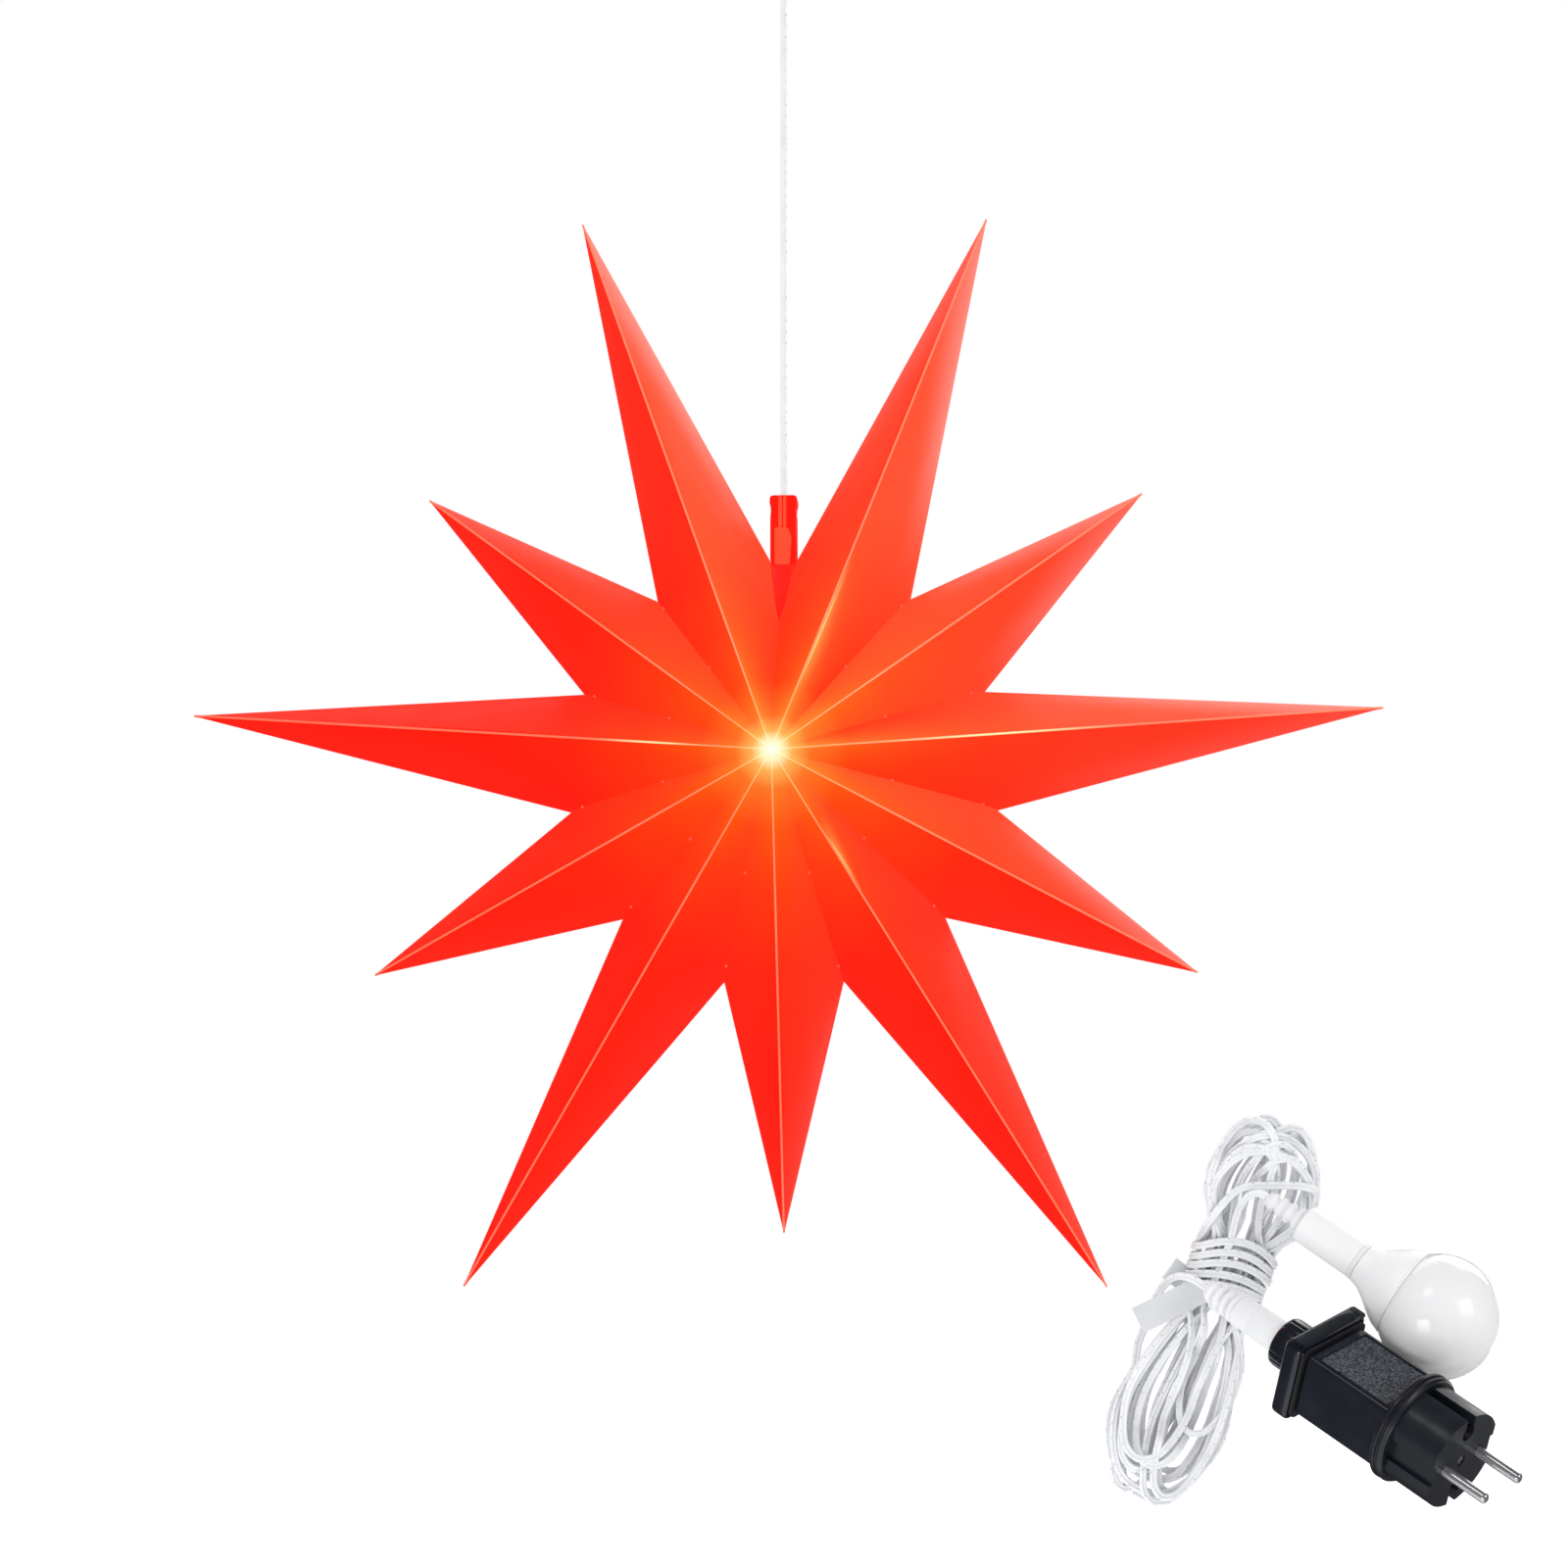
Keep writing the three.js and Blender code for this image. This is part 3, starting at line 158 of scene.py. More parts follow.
# Hank, in its own frame: +Z along it and +Y away from the viewer
HANK_TOP = 61
HANK_BOTTOM = 87
HANK_LOBE = 20.5
HANK_WAIST = 11.8
LOBE_STEP = 3
WAIST_STEP = 2.5
WAIST_SHIFT = 0.9  # of every other layer, outwards
LAYER_STEP = 3.4
LAYER_COUNT = 4
LOOPS_PER_LAYER = 4
HANK_TAIL_STEPS = 13
CLIMB_SHARE = 0.25
HANK_START_ROW = 4
FOLD_HALF = 9.3  # half the width of the narrowest turn in a lobe
WIDEST_FOLD = 11.3
WIDE_TURNS = 4  # every so many turns is as wide as the lobe
WIDE_STRAY = 3
GOLDEN = 0.618  # spreads the turns evenly across a lobe
TOP_OFFSET = 0.35  # of the top lobe's turns against the bottom lobe's
LOBE_SHORTENING = 0.2  # most that a turn stops short of its lobe's end, as a share
LOBE_STRAY = 0.7  # how far a strand wanders from its place
STRAY_SEED = 3
STRAY_PACE = 0.05  # of the noise that leads a strand astray, for each point
ROLL_PACE = 0.02
LOBE_ROLL = 28  # most that the flat cord is rolled in the lobes, in degrees, and at the waist
WAIST_ROLL = 68
PILE_BACK = 6.1  # the hank's back
PILE_THICK = 1.75  # of one strand on another
PILE_DEPTH = 13.2
PILE_CELL = 0.5
PILE_REACH = 2  # cells to each side that a strand covers
PILE_SPACING = 2
JOINED_STEPS = 6  # at each end of the hank, which keep to their stretches
UNPILED_POINTS = 25  # at each end, over which the piling sets in
front_turns = {13: (8.5, 9.5, 0.66), 14: (-6.5, 12, 0.84), 15: (7.5, 10, 0.95)}  # centre, half width, reach
TIE_TURNS = 5.58
TIE_STEP = 3.3
TIE_START_TURN = -0.08
TIE_START = -7
TIE_LOOP_STEPS = 24
TIE_CORNER = 5
TIE_HALF_X = 14.7
TIE_HALF_Y = 8.6
TIE_SLANT = 0.1
TIE_ARCH = (1.5, 6.5)  # of the first and the last turn, towards the lamp
TIE_STRAY = 1.2
TIE_LOOSENESS = 0.07
run_shares = [
    (-0.97, 0.44, 0), (-0.87, 0.78, 0), (-0.7, 1, 0), (-0.5, 0.93, 0.06), (-0.3, 0.88, 0.4), (-0.14, 1, 1),
    (0.2, 1, 1), (0.38, 0.92, 0.4), (0.6, 1, 0), (0.82, 0.86, 0), (0.95, 0.52, 0),
]
stretch_to_lamp = [
    (0.9, -16.3, 34), (-1.9, -15.25, 34.5), (-4.3, -13.6, 33.2), (-6, -11.6, 30.2), (-6.5, -9.8, 26),
    (-6, -8.8, 21), (-5.2, -8.5, 16.5), (-4.8, -8.5, 13.6), (-4.8, -8.5, 11.1),
]
stretch_under_tie = [
    (-4.8, -7.4, 6), (-4.8, -7.4, 0), (-4.5, -7.5, -5), (-3, -8.6, -9.8), (1, -9.4, -11.2),
    (6, -9.3, -10.9), (11, -8.6, -8.8), (13.2, -7.6, -7.8),
]
stretch_to_supply = [
    (-7.1, -19, -4.7), (-9.5, -17.3, -4.3), (-13.4, -14.2, -3.8), (-17.4, -9.4, -5), (-20, -3.2, -9),
    (-20.9, 1.5, -14.5), (-20.7, 4.2, -20), (-20.4, 5, -27), (-20.4, 5.1, -35),
]
stretch_to_tie = [
    (-15, -6, 14.4), (-14.7, -8.6, 18), (-13.4, -9.3, 23), (-11.8, -9.5, 27.8), (-9.7, -9.7, 32),
    (-6.4, -9.7, 34.9), (-2.6, -9.7, 36.7), (2, -9.6, 38.6), (7, -9.6, 40.6), (11.8, -9.4, 42.2),
    (15.6, -8.8, 42.7), (17.6, -7.4, 42.2), (18.7, -6, 40.8), (19.1, -5.3, 38.4),
]

# Tag
TAG_LENGTH = 27
TAG_HEIGHT = 10
TAG_PLACE = (-16.6, -10.3, -15.7)
TAG_LEAN = 48
TAG_THICK = 0.22
TAG_FOLD = 9
TAG_FOLD_PLACE = (-17.2, -1.6, -5.2)

# Supply, on its own axis: +X to the pins, +Z to its top
COVER_WIDTH = 37
COVER_HEIGHT = 32
COVER_THICK = 7.3
COVER_CORNER = 3.2
SPOUT_RADIUS = 6.5
SPOUT_LENGTH = 11
NUT_RADIUS = 9.6
NUT_LENGTH = 12
NUT_GRIPS = 16
SLEEVE_RADIUS = 6
SLEEVE_LENGTH = 22
SLEEVE_RELIEF = 15
SLEEVE_TIP = 3.8
SLEEVE_RIBS = 4
HOUSING_START = 1.6
HOUSING_LENGTH = 36
HOUSING_WIDTH = 31
HOUSING_HEIGHT = 26
HOUSING_CORNER = 2.6
PANEL_MARGIN = 2.6
PANEL_SINK = 0.7
COLLAR_START = HOUSING_START + HOUSING_LENGTH + CLEARANCE
COLLAR_THICK = 5.2
COLLAR_RADIUS = 21
FRONT_LENGTH = 19
FRONT_RADIUS = 18.6
FRONT_FLAT = 16.6
GUIDE_HALF = 4.2
GUIDE_DEPTH = 1.5
EARTH_SLOT_WIDTH = 4.4
EARTH_SLOT_DEPTH = 6.5
EARTH_HOLE_RADIUS = 3.1
SCREW_RADIUS = 1.9
SCREW_SINK = 0.8
FACE = COLLAR_START + COLLAR_THICK + FRONT_LENGTH
PIN_RADIUS = 2
PIN_SPACING = 19
PIN_LENGTH = 19
PIN_NOSE = 1.4
DRESSED_ANGLE = 32  # edges of the CAD nodes that stay are softened from this angle on

# Camera and light
CAMERA_DISTANCE = 1750
CAMERA_BELOW = 4.1
CAMERA_LENS = 96.3
SENSOR_WIDTH = 36
CAMERA_SIGHT = 100  # metres
FLOOR_DROP = 1250
FLOOR_SIZE = 40000
LIT_MIDDLE = Vector((0.05, -0.05, -0.4))  # metres, where the softboxes point
softboxes = [  # name, degrees to the right and up, metres away, metres wide, watts
    ("key", 44, 15, 2.4, 1.1, 9), ("fill_low", -32, -14, 2.4, 0.9, 10.8), ("fill_high", -30, 47, 2.4, 0.6, 2.5),
    ("bounce", -15, -58, 0.75, 1.0, 2.2), ("rim_upper_right", 139, 29, 1.0, 0.8, 4),
    ("rim_right", 134, -18, 1.1, 0.7, 2.5), ("rim_top", 191, 48, 1.0, 0.7, 2),
]


def shift(x, y, z):
    return Matrix.Translation((x, y, z))


def turn(axis, angle):
    return Matrix.Rotation(radians(angle), 4, axis)


# Where everything lies. The set lies square to the camera.
STAR = shift(0, 0, -STAR_DROP)
STAR_LAMP = STAR @ shift(0, 0, LAMP_DROP)
VIEW = turn("Z", 3.2) @ turn("X", 6.2)
SET = STAR @ shift(187, -225, -219) @ VIEW
SET_LAMP = SET @ shift(2.5, 35.6, 37.2) @ turn("Z", -23.8) @ turn("Y", -57.9)
HANK = SET @ shift(-11.3, 52, 6.2) @ turn("Y", 22)
SUPPLY = SET @ shift(18.6, 0, -19.8) @ turn("Z", -40.8) @ turn("Y", 25.7) @ turn("X", 16.5)
ALONG_X = turn("Y", 90)  # a turned piece about Z comes to lie along +X


def mix(a, b, share):
    return a + (b - a) * share


def smoothstep(low, high, value):
    share = min(max((value - low) / (high - low), 0), 1)
    return share * share * (3 - 2 * share)


# Materials
def feed(tree, node, inputs):
    """Links or sets a node's inputs."""
    for name, value in dict(inputs).items():
        socket = node.inputs[name]
        if isinstance(value, bpy.types.NodeSocket):
            tree.links.new(value, socket)
        else:
            socket.default_value = (*value, 1) if socket.type == "RGBA" else value
    return node


def add_node(tree, kind, inputs=(), **settings):
    node = tree.nodes.new(kind)
    for setting, value in settings.items():
        setattr(node, setting, value)
    return feed(tree, node, inputs)


class Look:
    """A material under construction: its node tree and its Principled shader."""

    def __init__(self, name, color, roughness, **sockets):
        self.material = bpy.data.materials.new(name)
        self.material.use_nodes = True
        self.tree = self.material.node_tree
        self.shader = self.tree.nodes["Principled BSDF"]
        sockets |= {"Base Color": color, "Roughness": roughness}
        feed(self.tree, self.shader, {socket.replace("_", " "): value for socket, value in sockets.items()})
        self.place = self.add("ShaderNodeTexCoord").outputs["Object"]

    def add(self, kind, inputs=(), **settings):
        return add_node(self.tree, kind, inputs, **settings)

    def join(self, output, socket):
        feed(self.tree, self.shader, {socket: output})

    def noise(self, scale, detail=3):
        """Noise whose features are scale millimetres across."""
        inputs = {"Vector": self.place, "Scale": 1 / (scale * MM), "Detail": detail}
        return self.add("ShaderNodeTexNoise", inputs).outputs["Fac"]

    def spread(self, value, low, high, start=0.3, end=0.7):
        inputs = {"Value": value, "From Min": start, "From Max": end, "To Min": low, "To Max": high}
        return self.add("ShaderNodeMapRange", inputs).outputs["Result"]

    def math(self, operation, a, b):
        return self.add("ShaderNodeMath", {0: a, 1: b}, operation=operation).outputs[0]

    def times(self, product, *factors):
        for factor in factors:
            product = self.math("MULTIPLY", product, factor)
        return product

    def rest(self, share):
        return self.math("SUBTRACT", 1.0, share)

    def vector(self, operation, inputs, output=0):
        return self.add("ShaderNodeVectorMath", inputs, operation=operation).outputs[output]

    def toned(self, color, factor):
        """A colour with its green and blue multiplied."""
        factors = self.add("ShaderNodeCombineXYZ", {0: 1.0, 1: factor, 2: factor}).outputs[0]
        return self.vector("MULTIPLY", {0: color, 1: factors})

    def ramp(self, value, stops):
        node = self.add("ShaderNodeValToRGB", {"Fac": value})
        elements = node.color_ramp.elements
        while len(elements) < len(stops):
            elements.new(0.5)
        for element, (position, color) in zip(elements, stops):
            element.position = position
            element.color = (*color, 1)
        return node.outputs["Color"]

    def blend(self, share, a, b):
        return self.add("ShaderNodeMix", {0: share, 6: a, 7: b}, data_type="RGBA").outputs[2]

    def kept(self, name):
        """A number kept for each corner of the mesh."""
        return self.add("ShaderNodeAttribute", attribute_name=name).outputs["Fac"]

    def clouds(self, size, a, b, socket="Base Color"):
        """Clouds of that size between two colours."""
        self.join(self.blend(self.spread(self.noise(size), 0, 1), a, b), socket)

    def bump(self, *heights):
        """Bumps from (height, strength, distance in millimetres), one on another."""
        normal = None
        for height, strength, distance in heights:
            inputs = {"Height": height, "Strength": strength, "Distance": distance * MM}
            if normal:
                inputs["Normal"] = normal
            normal = self.add("ShaderNodeBump", inputs).outputs["Normal"]
        self.join(normal, "Normal")

    def finished(self, gloss, *grains):
        """The material, its roughness uneven by (size, low, high, detail) and its bumps noise by (size,
        detail, strength, distance in millimetres)."""
        size, low, high, detail = gloss
        self.join(self.spread(self.noise(size, detail), low, high), "Roughness")
        self.bump(*[(self.noise(size, detail), *rest) for size, detail, *rest in grains])
        return self.material


def moulded(name, color, shade, roughness, grain, grain_strength, **sockets):
    """A moulded plastic: clouds between two near colours, uneven gloss, and a fine grain."""
    look = Look(name, color, roughness, **sockets)
    look.clouds(14, color, shade)
    gloss = 5, roughness * 0.85, roughness * 1.2, 3
    return look.finished(gloss, (grain, 4, grain_strength, 0.05), (9, 2, 0.12, 0.25))


def star_radius(look):
    """How far a place of the star is from its axis through the front and back points, in metres."""
    centred = look.vector("ADD", {0: look.place, 1: (0, 0, STAR_DROP * MM)})
    return look.vector("LENGTH", {0: look.vector("MULTIPLY", {0: centred, 1: (1, 0, 1)})}, "Value")


GLOW_REACH = 120  # from the star's axis
PAINTED_LIGHT_NEAR = (0, 0.075, 0.012)  # painted daylight on a sheet that faces the window, near the star's middle and at its outline
PAINTED_LIGHT_FAR = (0, 0.075, 0.027)
# Colour of the painted sheen by the star's outline
PAINTED_EDGE_SHEEN = (0, 0.13, 0.13)
# Colour of the painted glints beside the seams
PAINTED_GLINT_COLOR = (0, 0.62, 0.17)
# Painted glow of the lamp inside, by the distance from the star's axis: a white painted flare at the points, fading
# to red
glow_stops = [
    (0, (1, 1, 0.9)), (4, (1, 0.9, 0.5)), (8, (1, 0.45, 0.09)), (15, (1, 0.18, 0.014)), (30, (1, 0.078, 0.002)),
    (55, (0.98, 0.032, 0.0006)), (85, (0.95, 0.006, 0.0002)), (GLOW_REACH, (0.9, 0.001, 0)),
]
seam_stops = [
    (0, (1, 1, 0.85)), (5, (1, 0.85, 0.45)), (10, (1, 0.5, 0.18)), (20, (1, 0.34, 0.12)), (40, (0.98, 0.26, 0.12)),
    (80, (0.95, 0.16, 0.08)), (GLOW_REACH, (0.9, 0.12, 0.065)),
]
glint_band = [(0, 0), (0.45, 0.02), (0.75, 0.16), (0.88, 0.3), (0.915, 1), (0.945, 1), (0.965, 0.25), (1, 0.2)]


def glow(look, stops):
    share = look.math("DIVIDE", star_radius(look), GLOW_REACH * MM)
    return look.ramp(share, [(mm / GLOW_REACH, color) for mm, color in stops])


def film_look():
    """Thin red film whose emission paints the light of the lamp inside: bright round the middle and lighter towards
    its seams.
    """
    look = Look("star_film", (0.95, 0.003, 0.0005), 0.4, Specular_IOR_Level=0.012, Emission_Strength=1.0)
    look.clouds(60, (0.98, 0.004, 0.0006), (0.92, 0.002, 0.0004))
    share, bright, radius = look.kept("ridge_share"), look.kept("painted_light"), star_radius(look)
    # Painted daylight: sheets that face the window are lighter, most towards their ridges
    lift = look.times(look.spread(share, -0.4, 0.35, 0, 1), look.spread(bright, 0.35, 1, 0, 1))
    lift = look.times(look.math("ADD", lift, 0.8), look.spread(look.noise(35), 0.9, 1.1))
    away = look.spread(radius, 0, 1, 6 * MM, 32 * MM)
    lift = look.math("ADD", look.times(look.math("SUBTRACT", lift, 1.0), away), 1.0)
    out = look.spread(radius, 0, 1, 30 * MM, 130 * MM)
    # Painted shade towards the valleys, near the star's middle
    shade = look.times(look.rest(look.math("POWER", share, 1.3)), look.rest(out), look.kept("shading"))
    # Painted sheen along the star's outline, on sheets with painted daylight
    edge = look.times(look.kept("edge"), look.math("POWER", bright, 2.0), look.spread(share, 0, 1, 0.12, 0.45))
    # Painted glints beside the seams
    glint = look.times(look.kept("glint"), look.ramp(share, [(at, (v, v, v)) for at, v in glint_band]))
    lit = look.toned(glow(look, glow_stops), lift)
    through = look.blend(out, PAINTED_LIGHT_NEAR, PAINTED_LIGHT_FAR)
    lights = (through, look.times(bright, look.rest(shade))), (PAINTED_EDGE_SHEEN, edge), (PAINTED_GLINT_COLOR, glint)
    for color, amount in lights:
        lit = look.vector("ADD", {0: lit, 1: look.vector("SCALE", {0: color, "Scale": amount})})
    look.join(lit, "Emission Color")
    return look.finished((20, 0.34, 0.46, 3), (0.7, 3, 0.12, 0.05), (18, 2, 0.25, 0.6))


# The seams' emission is painted light: the lamp's glow round the middle, lighter beside sheets with painted
# daylight, and painted glints
def seam_look():
    look = Look("star_seam", (0.95, 0.1, 0.05), 0.35, Specular_IOR_Level=0.25, Emission_Strength=1.0)
    inner = glow(look, seam_stops)
    far = look.toned(inner, look.spread(look.kept("painted_light"), 0.3, 1, 0, 0.7))
    near = look.spread(star_radius(look), 1, 0, 8 * MM, 40 * MM)
    look.join(look.blend(look.kept("glint"), look.blend(near, far, inner), (1.0, 0.78, 0.38)), "Emission Color")
    return look.finished((3, 0.28, 0.45, 3), (1.2, 3, 0.3, 0.1))


# The welds' emission paints a dim red glow on them
def weld_look():
    look = Look("star_weld", (0.9, 0.06, 0.04), 0.2, Emission_Strength=1.0)
    look.clouds(0.6, (0.6, 0.03, 0.015), (0.4, 0.004, 0.001), "Emission Color")
    look.bump((look.noise(0.5), 0.3, 0.1))
    return look.material


def clip_look(name, color, painted_glow_color):
    """Glossy red plastic with a painted red glow in its emission."""
    look = Look(name, color, 0.3, Emission_Strength=1.0, Specular_IOR_Level=0.08)
    look.clouds(12, color, tuple(value * 0.8 for value in color))
    look.clouds(9, painted_glow_color, tuple(value * 0.85 for value in painted_glow_color), "Emission Color")
    return look.finished((3, 0.26, 0.36, 3), (0.6, 3, 0.04, 0.03), (6, 2, 0.1, 0.2))


def lead_look():
    """White sheath with small grey ticks along one core."""
    look = Look("lead_sheath", (0.7, 0.71, 0.73), 0.48, Subsurface_Weight=0.1, Subsurface_Scale=0.6 * MM,
                Subsurface_Radius=(1, 1, 1))
    clouds = look.blend(look.spread(look.noise(12), 0, 1), (0.79, 0.8, 0.82), (0.71, 0.72, 0.745))
    place = look.math("FRACT", look.math("DIVIDE", look.kept("along"), TICK_STEP), 0.0)
    ticks = look.times(look.math("LESS_THAN", place, 0.17), look.math("GREATER_THAN", look.kept("core"), 0.55),
                       look.spread(look.noise(7), 0.25, 0.85))
    look.join(look.blend(ticks, clouds, (0.3, 0.31, 0.33)), "Base Color")
    return look.finished((4, 0.4, 0.56, 3), (0.5, 4, 0.1, 0.05))


def globe_look():
    """Opal glass-like plastic, a little see-through below its surface."""
    look = Look("opal_white", (0.83, 0.83, 0.838), 0.12, Subsurface_Weight=0.35, Subsurface_Scale=4 * MM,
                Subsurface_Radius=(1, 1, 1), Specular_IOR_Level=0.6)
    look.clouds(30, (0.8, 0.8, 0.808), (0.775, 0.78, 0.79))
    return look.finished((10, 0.1, 0.15, 3), (16, 2, 0.03, 0.2))


def lit_globe_look():
    look = Look("opal_lit", (0.95, 0.9, 0.8), 0.3, Emission_Strength=4)
    look.join(look.ramp(look.noise(20), [(0.3, (1.0, 0.82, 0.5)), (0.7, (1.0, 0.9, 0.68))]), "Emission Color")
    return look.material


def panel_look():
    """Matte panel with a fine uneven grain."""
    look = Look("black_panel", (0.034, 0.037, 0.046), 0.62)
    speckle = look.spread(look.noise(0.9, 5), 0, 1, 0.4, 0.62)
    look.join(look.blend(speckle, (0.01, 0.0125, 0.018), (0.085, 0.094, 0.115)), "Base Color")
    return look.finished((0.8, 0.45, 0.75, 4), (0.6, 5, 0.7, 0.15))


def steel_look():
    look = Look("nickel", (0.76, 0.77, 0.79), 0.22, Metallic=0.9)
    look.clouds(8, (0.8, 0.81, 0.83), (0.72, 0.73, 0.755))
    return look.finished((12, 0.2, 0.25, 2), (9, 2, 0.05, 0.03))


def winding_look():
    """Copper wire wound in fine turns."""
    look = Look("copper_wire", (0.72, 0.36, 0.14), 0.35, Metallic=1.0)
    turns = look.add("ShaderNodeTexWave", {"Vector": look.place, "Scale": 700.0, "Distortion": 0.6},
                     bands_direction="Z").outputs["Fac"]
    look.join(look.blend(turns, (0.45, 0.18, 0.06), (0.8, 0.42, 0.18)), "Base Color")
    look.bump((turns, 0.6, 0.2))
    return look.material


# Each slot with the material that its pieces wear
film = "star_sheet", film_look()
seam = "star_sheet", seam_look()
weld = "star_sheet", weld_look()
clip_red = "clip_plastic", clip_look("clip_red", (0.9, 0.006, 0.001), (0.6, 0.001, 0.0))
# The latch and the ribs wear a lighter copy of the clip's red: painted light
painted_lit_red = "clip_plastic", clip_look("painted_lit_red", (0.95, 0.05, 0.02), (0.62, 0.03, 0.01))
lead = "lead_white", lead_look()
opal = "opal_globe", globe_look()
opal_lit = "opal_globe", lit_globe_look()
nickel = "bright_steel", steel_look()
white_plastic = "white_plastic", moulded(
    "white_plastic", (0.79, 0.79, 0.797), (0.76, 0.765, 0.775), 0.36, 0.5, 0.06,
    Subsurface_Weight=0.15, Subsurface_Scale=2 * MM, Subsurface_Radius=(1, 1, 1))
soft_white = "soft_white", moulded(
    "soft_white", (0.74, 0.745, 0.76), (0.69, 0.695, 0.715), 0.5, 0.4, 0.12,
    Subsurface_Weight=0.15, Subsurface_Scale=1.5 * MM, Subsurface_Radius=(1, 1, 1))
ferrule_white = "lead_white", soft_white[1]
paper = "tag_white", moulded("tag_paper", (0.6, 0.61, 0.63), (0.53, 0.54, 0.56), 0.6, 0.25, 0.25)
black = "black_plastic", moulded(
    "black_gloss", (0.006, 0.0076, 0.0125), (0.0105, 0.0125, 0.0195), 0.18, 0.6, 0.03, Coat_Weight=0.5)
front_black = "black_plastic", moulded(
    "black_satin", (0.007, 0.0088, 0.014), (0.011, 0.013, 0.02), 0.34, 0.5, 0.03, Coat_Weight=0.12)

# Materials of the panel and of the CAD nodes that stay
panel = panel_look()
copper = winding_look()
rubber = moulded("black_rubber", (0.006, 0.006, 0.008), (0.01, 0.01, 0.013), 0.55, 0.3, 0.1)
board_green = moulded("solder_mask", (0.03, 0.2, 0.08), (0.05, 0.26, 0.12), 0.35, 0.4, 0.2)
board_white = moulded("white_mask", (0.85, 0.85, 0.8), (0.78, 0.78, 0.72), 0.4, 0.4, 0.15)
ferrite = moulded("ferrite", (0.05, 0.05, 0.055), (0.09, 0.09, 0.1), 0.6, 0.3, 0.4)
shrink_sleeve = moulded("shrink_sleeve", (0.02, 0.03, 0.07), (0.04, 0.05, 0.1), 0.3, 0.5, 0.1)


# Meshes
def add_object(name, data):
    obj = bpy.data.objects.new(name, data)
    bpy.context.scene.collection.objects.link(obj)
    return obj


def piece(name, mesh, place, body, kind, nodes=(), kept=None, sharp=38):
    """A closed piece from (vertices, faces), in millimetres in the frame of place, riding on a body and
    standing for CAD nodes. kept gives the numbers that its material reads, by name: one for each corner, or
    one for all."""
    (vertices, faces), (slot, material) = mesh, kind
    data = bpy.data.meshes.new(name)
    data.from_pydata([place @ Vector(corner) * MM for corner in vertices], [], faces)
    for key, values in (kept or {}).items():
        values = values if isinstance(values, list) else [values] * len(vertices)
        data.attributes.new(key, "FLOAT", "POINT").data.foreach_set("value", values)
    work = bmesh.new()
    work.from_mesh(data)
    bmesh.ops.recalc_face_normals(work, faces=work.faces)
    work.to_mesh(data)
    work.free()
    data.shade_smooth()
    data.set_sharp_from_angle(angle=radians(sharp))
    data.materials.append(material)
    obj = add_object(name, data)
    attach(obj, body)
    if nodes:
        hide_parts(*nodes)
    return obj


def arc(centre, radius, start, end, steps):
    """Pairs round a centre from one angle to another, in degrees."""
    angles = [radians(mix(start, end, i / steps)) for i in range(steps + 1)]
    return [(centre[0] + radius * cos(a), centre[1] + radius * sin(a)) for a in angles]


def circle(radius, sides):
    return arc((0, 0), radius, 0, 360, sides)[:-1]


def band(low, high, n):
    """The faces between two rings of n corners, which start at the corners low and high."""
    return [(low + i, low + (i + 1) % n, high + (i + 1) % n, high + i) for i in range(n)]


def loft(rings, closed=False):
    """Rings of equally many corners, joined in turn, and capped unless they close."""
    n, count = len(rings[0]), len(rings)
    faces = []
    for k in range(count if closed else count - 1):
        faces += band(k * n, (k + 1) % count * n, n)
    if not closed:
        faces += [tuple(range(n)), tuple(range((count - 1) * n, count * n))]
    return [corner for ring in rings for corner in ring], faces


def together(*parts):
    """Several (vertices, faces) as one."""
    vertices, faces = [], []
    for more, of_them in parts:
        first = len(vertices)
        vertices += list(more)
        faces += [tuple(first + i for i in face) for face in of_them]
    return vertices, faces


def lathe(profile, steps=64, closed=False):
    """A turned piece about Z from (radius, height) pairs. A radius of 0 is a point on the axis, and a
    closed profile goes round a bore."""
    vertices, rows = [], []
    for radius, height in profile:
        ring = circle(radius, steps if radius > 0 else 1)
        rows.append([len(vertices) + i for i in range(len(ring))])
        vertices += [(x, y, height) for x, y in ring]
    faces = []
    for low, high in list(zip(rows, rows[1:])) + ([(rows[-1], rows[0])] if closed else []):
        for i in range(steps):
            j = i + 1
            corners = [low[i % len(low)], low[j % len(low)], high[j % len(high)], high[i % len(high)]]
            faces.append(tuple(dict.fromkeys(corners)))
    return vertices, [face for face in faces if len(face) > 2]


def laid(mesh):
    """A turned piece laid along +X."""
    return [ALONG_X @ Vector(corner) for corner in mesh[0]], mesh[1]


def rounded(profile, radius, steps=4):
    """A profile with its corners rounded off, apart from its two ends."""
    points = [Vector(point) for point in profile]
    result = [tuple(points[0])]
    for before, corner, after in zip(points, points[1:], points[2:]):
        back, ahead = before - corner, after - corner
        start = corner + back.normalized() * min(radius, back.length * 0.45)
        end = corner + ahead.normalized() * min(radius, ahead.length * 0.45)
        for k in range(steps + 1):
            share = k / steps
            result.append(tuple(mix(mix(start, corner, share), mix(corner, end, share), share)))
    result.append(tuple(points[-1]))
    return result


def swept(points, section, hints, closed=False, sizes=None):
    """Rings of a section of (across, up) pairs along points. A hint says which way across points, and
    sizes scale the section."""
    count = len(points)
    rings, last = [], None
    for i, point in enumerate(points):
        before = points[(i - 1) % count if closed else max(i - 1, 0)]
        after = points[(i + 1) % count if closed else min(i + 1, count - 1)]
        ahead = (after - before).normalized()
        hint = hints[i]
        across = (hint - ahead * hint.dot(ahead)).normalized()
        if last and across.dot(last) < 0:
            across = -across
        last = across
        up = ahead.cross(across)
        size = sizes[i] if sizes else 1
        rings.append([point + across * a * size + up * b * size for a, b in section])
    return rings


